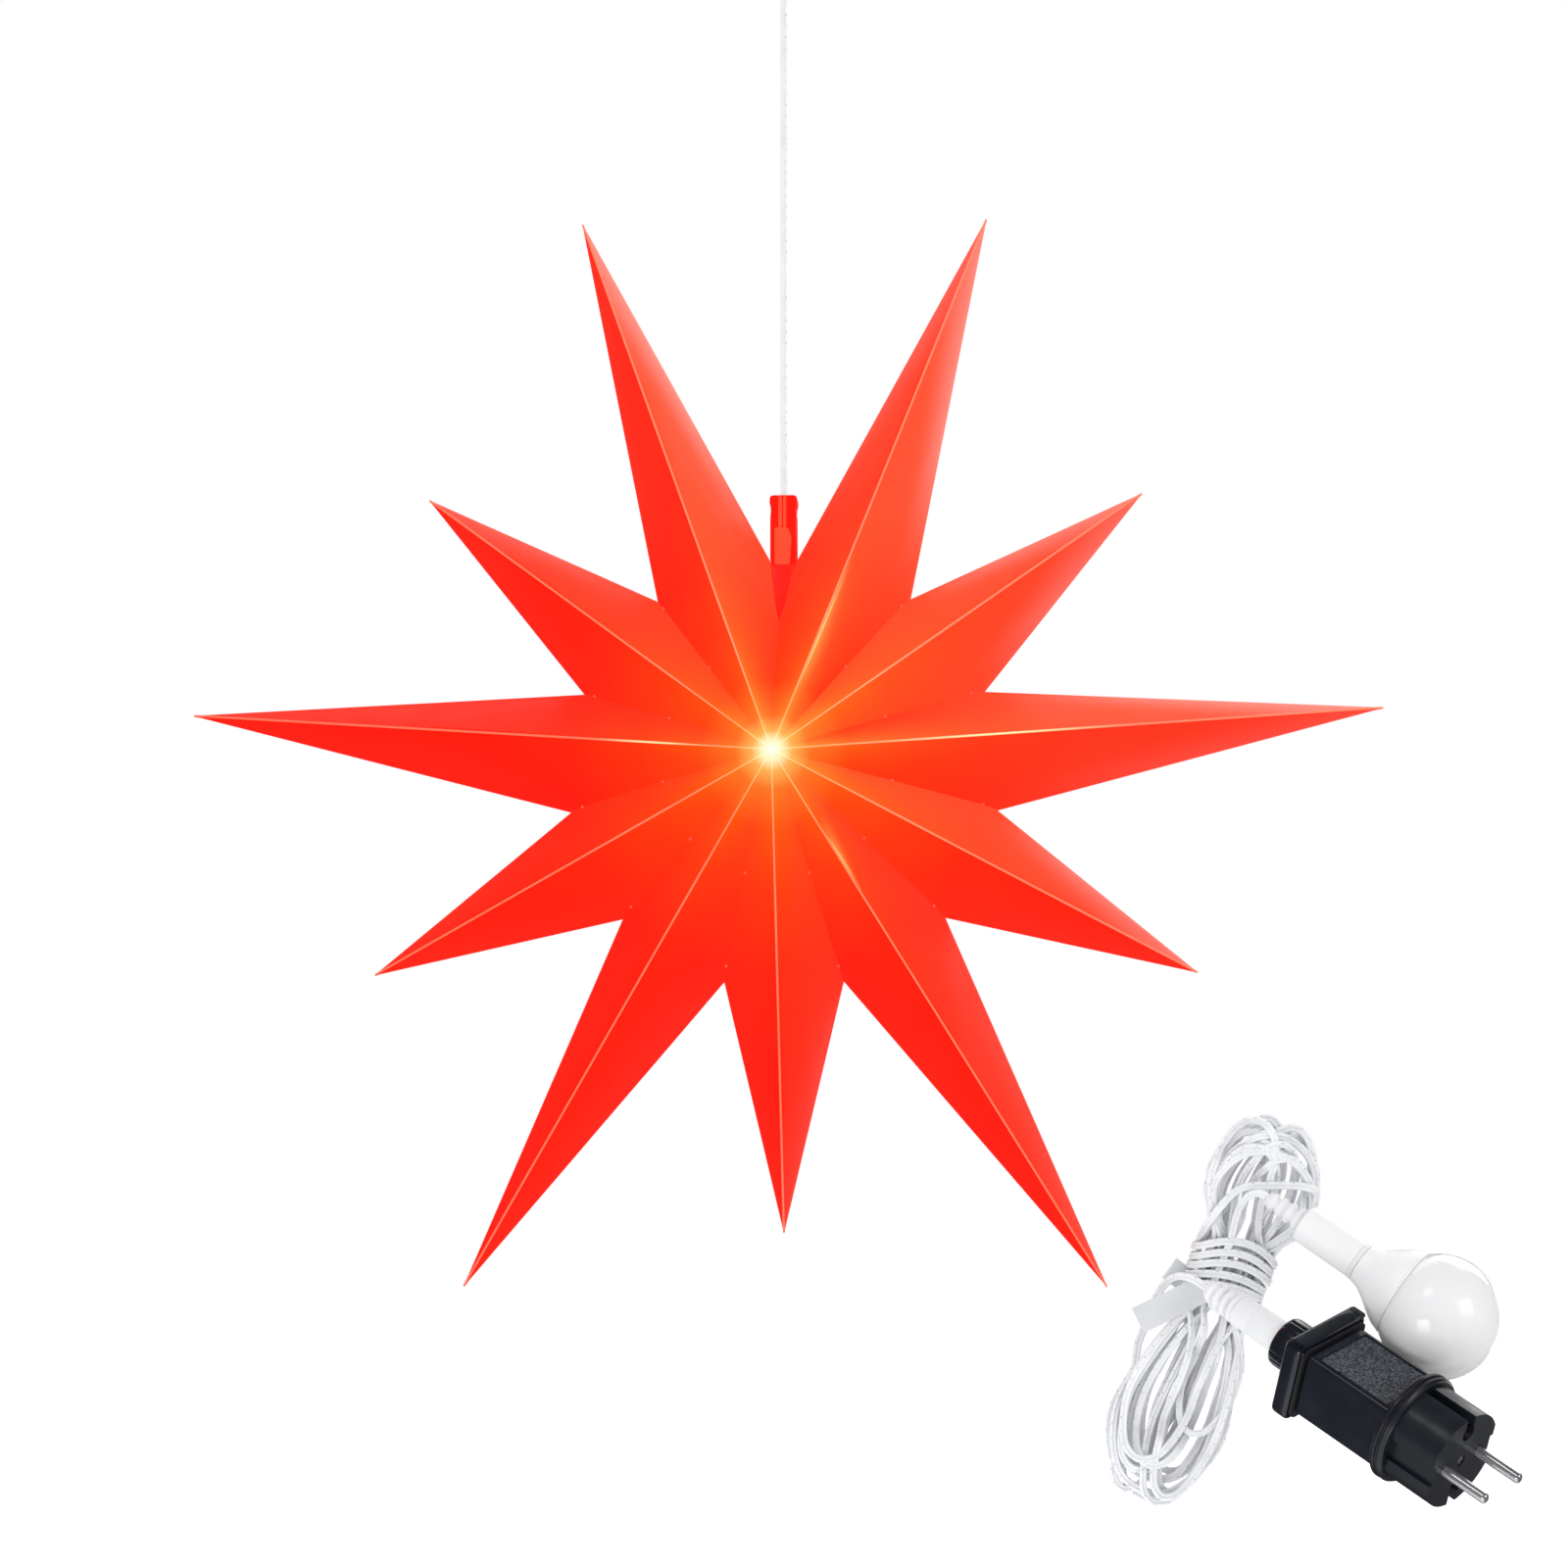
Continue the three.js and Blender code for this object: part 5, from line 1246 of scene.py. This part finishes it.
def bell_profile():
    """The bulb's body: its threaded cap, the bell, a bead at its mouth, and the hollow inside."""
    steps = 28

    def bell(share, wall):
        return mix(BULB_NECK, SEAM_RADIUS, smoothstep(0, 1, share)) - wall, BULB_TOP - share * BULB_LENGTH

    bead = BULB_FOOT + 0.9
    cap = threaded(CAP_RADIUS - 0.4, 0.25, 5, 40, BULB_TOP + CAP_LENGTH - 0.5, BULB_TOP)
    outside = [bell(max(i, 0.4) / steps, 0) for i in range(steps - 1)]
    inside = [bell(i / steps, BULB_WALL) for i in range(steps - 2, 1, -1)]
    return [(0, BULB_TOP + CAP_LENGTH)] + cap + [(BULB_NECK - 0.5, BULB_TOP)] + outside + [
        (SEAM_RADIUS, bead), (SEAM_RADIUS + 0.3, bead - 0.2), (SEAM_RADIUS + 0.3, BULB_FOOT + 0.1),
        (SEAM_RADIUS, BULB_FOOT), (SEAM_RADIUS - BULB_WALL, BULB_FOOT),
    ] + inside + [(0, bell(1 / steps, 0)[1])]


def globe_profile():
    end = 90 - degrees(asin(SEAM_RADIUS / GLOBE_RADIUS))
    outside, inside = (
        arc((0, GLOBE_MIDDLE), radius, -90, end, 40) for radius in (GLOBE_RADIUS, GLOBE_RADIUS - GLOBE_WALL))
    lip = SEAM_RADIUS - BULB_WALL - 0.4
    return [(0, GLOBE_MIDDLE - GLOBE_RADIUS)] + outside[1:-1] + [
        (SEAM_RADIUS, BULB_FOOT - 0.04), (SEAM_RADIUS - 0.3, BULB_FOOT - 0.02), (lip, BULB_FOOT - 0.02),
        (lip, BULB_FOOT + GLOBE_LIP), (lip - GLOBE_WALL, BULB_FOOT + GLOBE_LIP),
    ] + inside[-3:0:-1] + [(0, GLOBE_MIDDLE - GLOBE_RADIUS + GLOBE_WALL)]


# CAD nodes that stay
def softened(obj, width, angle=34):
    """Rounds a piece's sharp edges off."""
    soft = obj.modifiers.new("soft_edges", "BEVEL")
    soft.width = width * MM
    soft.segments = 3
    soft.limit_method = "ANGLE"
    soft.angle_limit = radians(angle)
    soft.harden_normals = True


def dressed(node, material, edge):
    """A CAD node keeps its shape and gets a material and softened edges."""
    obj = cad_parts[node]
    obj.data.materials.clear()
    obj.data.materials.append(material)
    flat = obj.modifiers.new("flat_faces", "DECIMATE")
    flat.decimate_type = "DISSOLVE"
    flat.angle_limit = radians(1)
    softened(obj, edge, DRESSED_ANGLE)
    obj.data.shade_smooth()
    obj.data.set_sharp_from_angle(angle=radians(DRESSED_ANGLE))


# Supply
def rounded_section(width, height, corner, sink=0.0, margin=0.0):
    """A rounded rectangle as (y, z) pairs, with a sunk panel in its top side."""
    x, y = width / 2 - corner, height / 2 - corner
    section = []
    for quarter, centre in enumerate(((x, -y), (x, y), (-x, y), (-x, -y))):
        section += arc(centre, corner, 90 * quarter - 90, 90 * quarter, 6)
        if quarter == 1:
            edge, top = width / 2 - margin, height / 2
            section += [(edge, top), (edge - 0.25, top - sink), (-edge + 0.25, top - sink), (-edge, top)]
    return section


def along_x(stations):
    """A loft of (x, section) stations along +X."""
    return loft([[(x, y, z) for y, z in section] for x, section in stations])


def rear_cover():
    """The cover's flange with soft edges and a step inside its front rim, and its threaded spout."""
    def ring(x, inset):
        return x, rounded_section(COVER_WIDTH - 2 * inset, COVER_HEIGHT - 2 * inset, max(COVER_CORNER - inset, 0.8))

    back = -COVER_THICK
    flange = along_x([ring(x, inset) for x, inset in (
        (back, 1.6), (back + 0.25, 0.7), (back + 0.8, 0.2), (back + 1.6, 0), (-1.4, 0), (-0.8, 0.12), (-0.35, 0.45),
        (-0.3, 1.1), (-0.9, 1.35), (-0.95, 1.9), (-0.1, 2.15), (0, 2.5))])
    start, end = back - SPOUT_LENGTH, back + 0.5
    spout = laid(lathe([(0, start)] + threaded(SPOUT_RADIUS, -0.22, 6, 48, start, end) + [(0, end)]))
    piece("supply_back_shell", together(flange, spout), SUPPLY, "ceiling", black, ["supply_rear_cover"], sharp=50)


def housing_shell():
    """The housing with soft ends and a sunk panel in its top face."""
    start, end = HOUSING_START, HOUSING_START + HOUSING_LENGTH
    first, last = start + 3.2, end - 2.2
    stations = []
    for x, inset, sink in (
        (start, 0.4, 0), (start + 0.4, 0, 0), (first, 0, 0), (first + 0.25, 0, PANEL_SINK),
        (last - 0.25, 0, PANEL_SINK), (last, 0, 0), (end - 0.4, 0, 0), (end, 0.4, 0),
    ):
        width, height = HOUSING_WIDTH - 2 * inset, HOUSING_HEIGHT - 2 * inset
        stations.append((x, rounded_section(width, height, HOUSING_CORNER, sink, PANEL_MARGIN)))
    obj = piece("supply_case", along_x(stations), SUPPLY, "ceiling", black, ["supply_housing"], sharp=30)
    obj.data.materials.append(panel)
    up = SUPPLY.to_3x3() @ Vector((0, 0, 1))
    inverse = (Matrix.Scale(MM, 4) @ SUPPLY).inverted()
    for face in obj.data.polygons:
        x, _, z = inverse @ face.center
        on_floor = abs(z - (HOUSING_HEIGHT / 2 - PANEL_SINK)) < 0.05 and first < x < last
        face.material_index = int(on_floor and face.normal.dot(up) > 0.99)


def union_nut():
    """A ring with soft ends and grooves round it for grip."""
    start = -COVER_THICK - CLEARANCE
    end = start - NUT_LENGTH
    sides = NUT_GRIPS * 8
    grips = [0.45 * max(0, cos(pi * i / 4)) ** 3 for i in range(sides)]
    rings = []
    for x, grow, grooved in (
        (start, -1.0, 0), (start - 0.3, -0.3, 0.3), (start - 1.2, 0, 1), (end + 1.6, 0, 1), (end + 0.5, -0.35, 0.4),
        (end, -1.2, 0),
    ):
        sizes = [NUT_RADIUS + grow - grooved * grip for grip in grips]
        rings.append([(x, size * y, size * z) for size, (y, z) in zip(sizes, circle(1, sides))])
    for x in (end + 0.3, start - 0.3):
        rings.append([(x, y, z) for y, z in circle(SPOUT_RADIUS + CLEARANCE, sides)])
    return piece("union_ring", loft(rings, closed=True), SUPPLY, "nut", black, ["union_nut"], sharp=45)


def connector_sleeve():
    """The white connector: a soft-edged barrel with a slotted strain relief."""
    front = -COVER_THICK - SPOUT_LENGTH - CLEARANCE
    back = front - SLEEVE_LENGTH
    relief = slotted_relief(SLEEVE_RELIEF, SLEEVE_TIP, SLEEVE_RADIUS - 0.5, SLEEVE_RIBS)
    rings = [[(back - SLEEVE_RELIEF - z, x, y) for x, y, z in ring] for ring in relief]
    barrel = rounded([(SLEEVE_RADIUS - inset, back + x) for inset, x in (
        (SLEEVE_RADIUS, 0), (0, 0), (0, 7), (0.25, 7.3), (0.25, 8), (0, 8.3), (0, SLEEVE_LENGTH),
        (SLEEVE_RADIUS, SLEEVE_LENGTH))], 0.5)
    mesh = together(loft(rings), laid(lathe(barrel)))
    return piece("connector_barrel", mesh, SUPPLY, "ceiling", soft_white, ["connector_sleeve"], sharp=50)


def prism(outline, start, end, holes=()):
    """A prism along +X from start to end, with blind holes of (outline, depth) in its far end."""
    n = len(outline)
    vertices = [(x, y, z) for x in (start, end) for y, z in outline]
    faces = band(0, n, n) + [tuple(range(n))]
    rims, rim_corners = [[Vector(corner) for corner in vertices[n:]]], list(range(n, 2 * n))
    for hole, depth in holes:
        first, count = len(vertices), len(hole)
        rims.append([Vector((end, y, z)) for y, z in hole])
        rim_corners += range(first, first + count)
        vertices += [(x, y, z) for x in (end, end - depth) for y, z in hole]
        faces += band(first, first + count, count) + [tuple(range(first + count, first + 2 * count))]
    faces += [tuple(rim_corners[i] for i in three) for three in geometry.tessellate_polygon(rims)]
    return vertices, faces


def front_outline():
    """Half of the plug front's outline: guide groove, flat, arc, earth slot, arc, flat. The other half is
    the same, turned over."""
    flat_end = sqrt(FRONT_RADIUS ** 2 - FRONT_FLAT ** 2)
    floor = FRONT_RADIUS - EARTH_SLOT_DEPTH
    half_slot = EARTH_SLOT_WIDTH / 2
    start = degrees(atan2(flat_end, FRONT_FLAT))
    end = degrees(acos(half_slot / FRONT_RADIUS))
    mouth = degrees(acos(half_slot / EARTH_HOLE_RADIUS))
    groove = FRONT_FLAT - GUIDE_DEPTH
    half = [(groove, GUIDE_HALF), (FRONT_FLAT, GUIDE_HALF)] + arc((0, 0), FRONT_RADIUS, start, end, 18)
    half += arc((0, floor), EARTH_HOLE_RADIUS, mouth, mouth - 360 + 2 * (90 - mouth), 24)
    half += arc((0, 0), FRONT_RADIUS, 180 - end, 180 - start, 18)
    return half + [(-FRONT_FLAT, GUIDE_HALF), (-groove, GUIDE_HALF)]


def plug_front():
    """The round front of the plug: a grooved collar, and a front with flats, guides and earth slots."""
    half, end = COLLAR_THICK / 2, COLLAR_START + COLLAR_THICK
    profile = [(COLLAR_RADIUS - inset, COLLAR_START + half + x) for inset, x in (
        (COLLAR_RADIUS, -half), (0.5, -half), (0, 0.6 - half), (0, -0.7), (0.9, -0.35), (0.9, 0.35), (0.1, 0.7),
        (0.1, half - 1.3), (0.9, half - 0.5), (1, half))]
    profile = rounded(profile + [(FRONT_RADIUS - 0.4, end), (FRONT_RADIUS - 0.5, end - 0.5), (0, end - 0.5)], 0.25)
    collar = lathe(profile, 128)
    piece("plug_collar", collar, SUPPLY @ ALONG_X, "ceiling", front_black, ["plug_front"], sharp=50)

    def hole(y, radius):
        return arc((y, 0), radius, 0, 345, 23)

    half = front_outline()
    holes = [(hole(side * PIN_SPACING / 2, PIN_RADIUS + 0.35), 3) for side in (-1, 1)]
    holes.append((hole(0, SCREW_RADIUS + CLEARANCE), 2.5))
    face = prism(half + [(-y, -z) for y, z in half], end - 1, FACE, holes)
    softened(piece("plug_face", face, SUPPLY, "ceiling", front_black, ["plug_front"]), 0.4)
    cross = []
    for quarter in range(4):
        c, s = cos(radians(90 * quarter)), sin(radians(90 * quarter))
        cross += [(y * c - z * s, y * s + z * c) for y, z in ((1.25, -0.25), (1.25, 0.25), (0.25, 0.25))]
    head = prism(hole(0, SCREW_RADIUS), FACE - SCREW_SINK - 2, FACE - SCREW_SINK, [(cross, 0.7)])
    softened(piece("screw_head", head, SUPPLY, "ceiling", nickel, ["centre_screw"]), 0.2)


def plug_pin(side):
    name = "left" if side < 0 else "right"
    tip = FACE + PIN_LENGTH
    nose = PIN_RADIUS - PIN_NOSE, tip - PIN_NOSE
    profile = [(0, FACE - 4), (PIN_RADIUS, FACE - 4), (PIN_RADIUS, tip - PIN_NOSE)]
    profile += arc(nose, PIN_NOSE, 0, 90, 8)[1:-1] + [(PIN_RADIUS - PIN_NOSE, tip), (0, tip)]
    place = SUPPLY @ shift(0, side * PIN_SPACING / 2, 0) @ ALONG_X
    piece(f"pin_{name}_shell", lathe(profile, 48), place, "ceiling", nickel, [f"plug_pin_{name}"])


# Tag
def paper_sheet(width, height, place, lean, bend, swing):
    """A thin bent sheet: its middle's place, its lean to the right, how it bends and how it swings back."""
    columns, rows = 30, 6
    tilt = shift(*place) @ turn("Y", -lean) @ turn("Z", swing)
    rings = []
    for i in range(columns + 1):
        share = i / columns
        out = -bend * sin(pi * share) - 0.25 * bend * sin(3 * pi * share)
        row = []
        for j in range(rows + 1):
            down = j / rows - 0.5
            curl = 0.5 * bend * down * (share - 0.5)
            row.append(((share - 0.5) * width, out + curl, -down * height))
        ring = row + [(x, y + TAG_THICK, z) for x, y, z in reversed(row)]
        rings.append([tilt @ Vector(corner) for corner in ring])
    return loft(rings)


def paper_tag():
    """A bare paper flag folded round the lead: its long face, and the short end that shows behind it."""
    face = paper_sheet(TAG_LENGTH, TAG_HEIGHT, TAG_PLACE, TAG_LEAN, 0.7, 0)
    behind = paper_sheet(TAG_FOLD, TAG_HEIGHT * 0.8, TAG_FOLD_PLACE, TAG_LEAN + 27, 0.5, 8)
    return piece("paper_flag", together(face, behind), HANK, "ceiling", paper, ["set_lead_tag"], sharp=50)


# Light and floor
def softbox(name, azimuth, elevation, distance, size, power):
    """A square area light seen from the object that many degrees to the right of the camera and above it."""
    light = add_object(name, bpy.data.lights.new(name, "AREA"))
    light.data.shape = "SQUARE"
    light.data.size = size
    light.data.energy = power
    a, e = radians(azimuth), radians(elevation)
    towards = VIEW @ Vector((sin(a) * cos(e), -cos(a) * cos(e), sin(e)))
    place = Matrix.Translation(LIT_MIDDLE + towards * distance)
    light.matrix_world = place @ towards.to_track_quat("Z", "Y").to_matrix().to_4x4()


def make_world():
    """White to the camera, soft light to the object, and dimmer in reflections."""
    world = bpy.data.worlds.new("studio")
    bpy.context.scene.world = world
    world.use_nodes = True
    tree = world.node_tree
    tree.nodes.clear()
    rays = add_node(tree, "ShaderNodeLightPath").outputs
    white, soft, dim = (
        add_node(tree, "ShaderNodeBackground", {"Color": (1, 1, 1), "Strength": strength}).outputs[0]
        for strength in (1.0, 0.97, 0.05))
    lit = add_node(tree, "ShaderNodeMixShader", {0: rays["Is Glossy Ray"], 1: soft, 2: dim}).outputs[0]
    seen = add_node(tree, "ShaderNodeMixShader", {0: rays["Is Camera Ray"], 1: lit, 2: white}).outputs[0]
    add_node(tree, "ShaderNodeOutputWorld", {"Surface": seen})


def make_floor():
    half, z = FLOOR_SIZE / 2 * MM, -FLOOR_DROP * MM
    mesh = bpy.data.meshes.new("floor")
    mesh.from_pydata([(-half, -half, z), (half, -half, z), (half, half, z), (-half, half, z)], [], [(0, 1, 2, 3)])
    look = Look("floor_white", (0.95, 0.95, 0.95), 0.8, Emission_Color=(1, 1, 1), Emission_Strength=0.6)
    look.clouds(900, (0.95, 0.95, 0.95), (0.93, 0.93, 0.94))
    mesh.materials.append(look.material)
    floor = add_object("floor", mesh)
    floor.visible_glossy = floor.visible_diffuse = False


make_camera()
star_cords()
set_cord(connector_sleeve(), union_nut(), paper_tag(), "supply_gasket", "circuit_board")

ceiling_hook()
for ray in range(RAY_COUNT):
    film_leaf(ray, -1)
    film_leaf(ray, 1)
    seam_strip(ray)
for ray in range(RAY_COUNT - 1):
    valley_welds(ray)
apex_weld(-1)
apex_weld(1)

clip_half(-1)
clip_half(1)
clip_rib(-1.3, 1.5, "clip_rib_left")
clip_rib(0.6, 1.3, "clip_rib_right")
latch_plate()

lamp("star", STAR_LAMP, "star", "star_seal", "star_bulb", opal_lit)
lamp("set", SET_LAMP, "ceiling", "set_seal", "set_bulb", opal)

plug_front()
rear_cover()
housing_shell()
plug_pin(-1)
plug_pin(1)
for node, material, edge in (
    ("supply_gasket", rubber, 0.2), ("circuit_board", board_green, 0.2), ("transformer_core", ferrite, 0.3),
    ("transformer_winding", copper, 0.3), ("capacitor", shrink_sleeve, 0.4),
):
    dressed(node, material, edge)

make_world()
make_floor()
for row in softboxes:
    softbox(*row)

bpy.context.scene.view_settings.view_transform = "Standard"
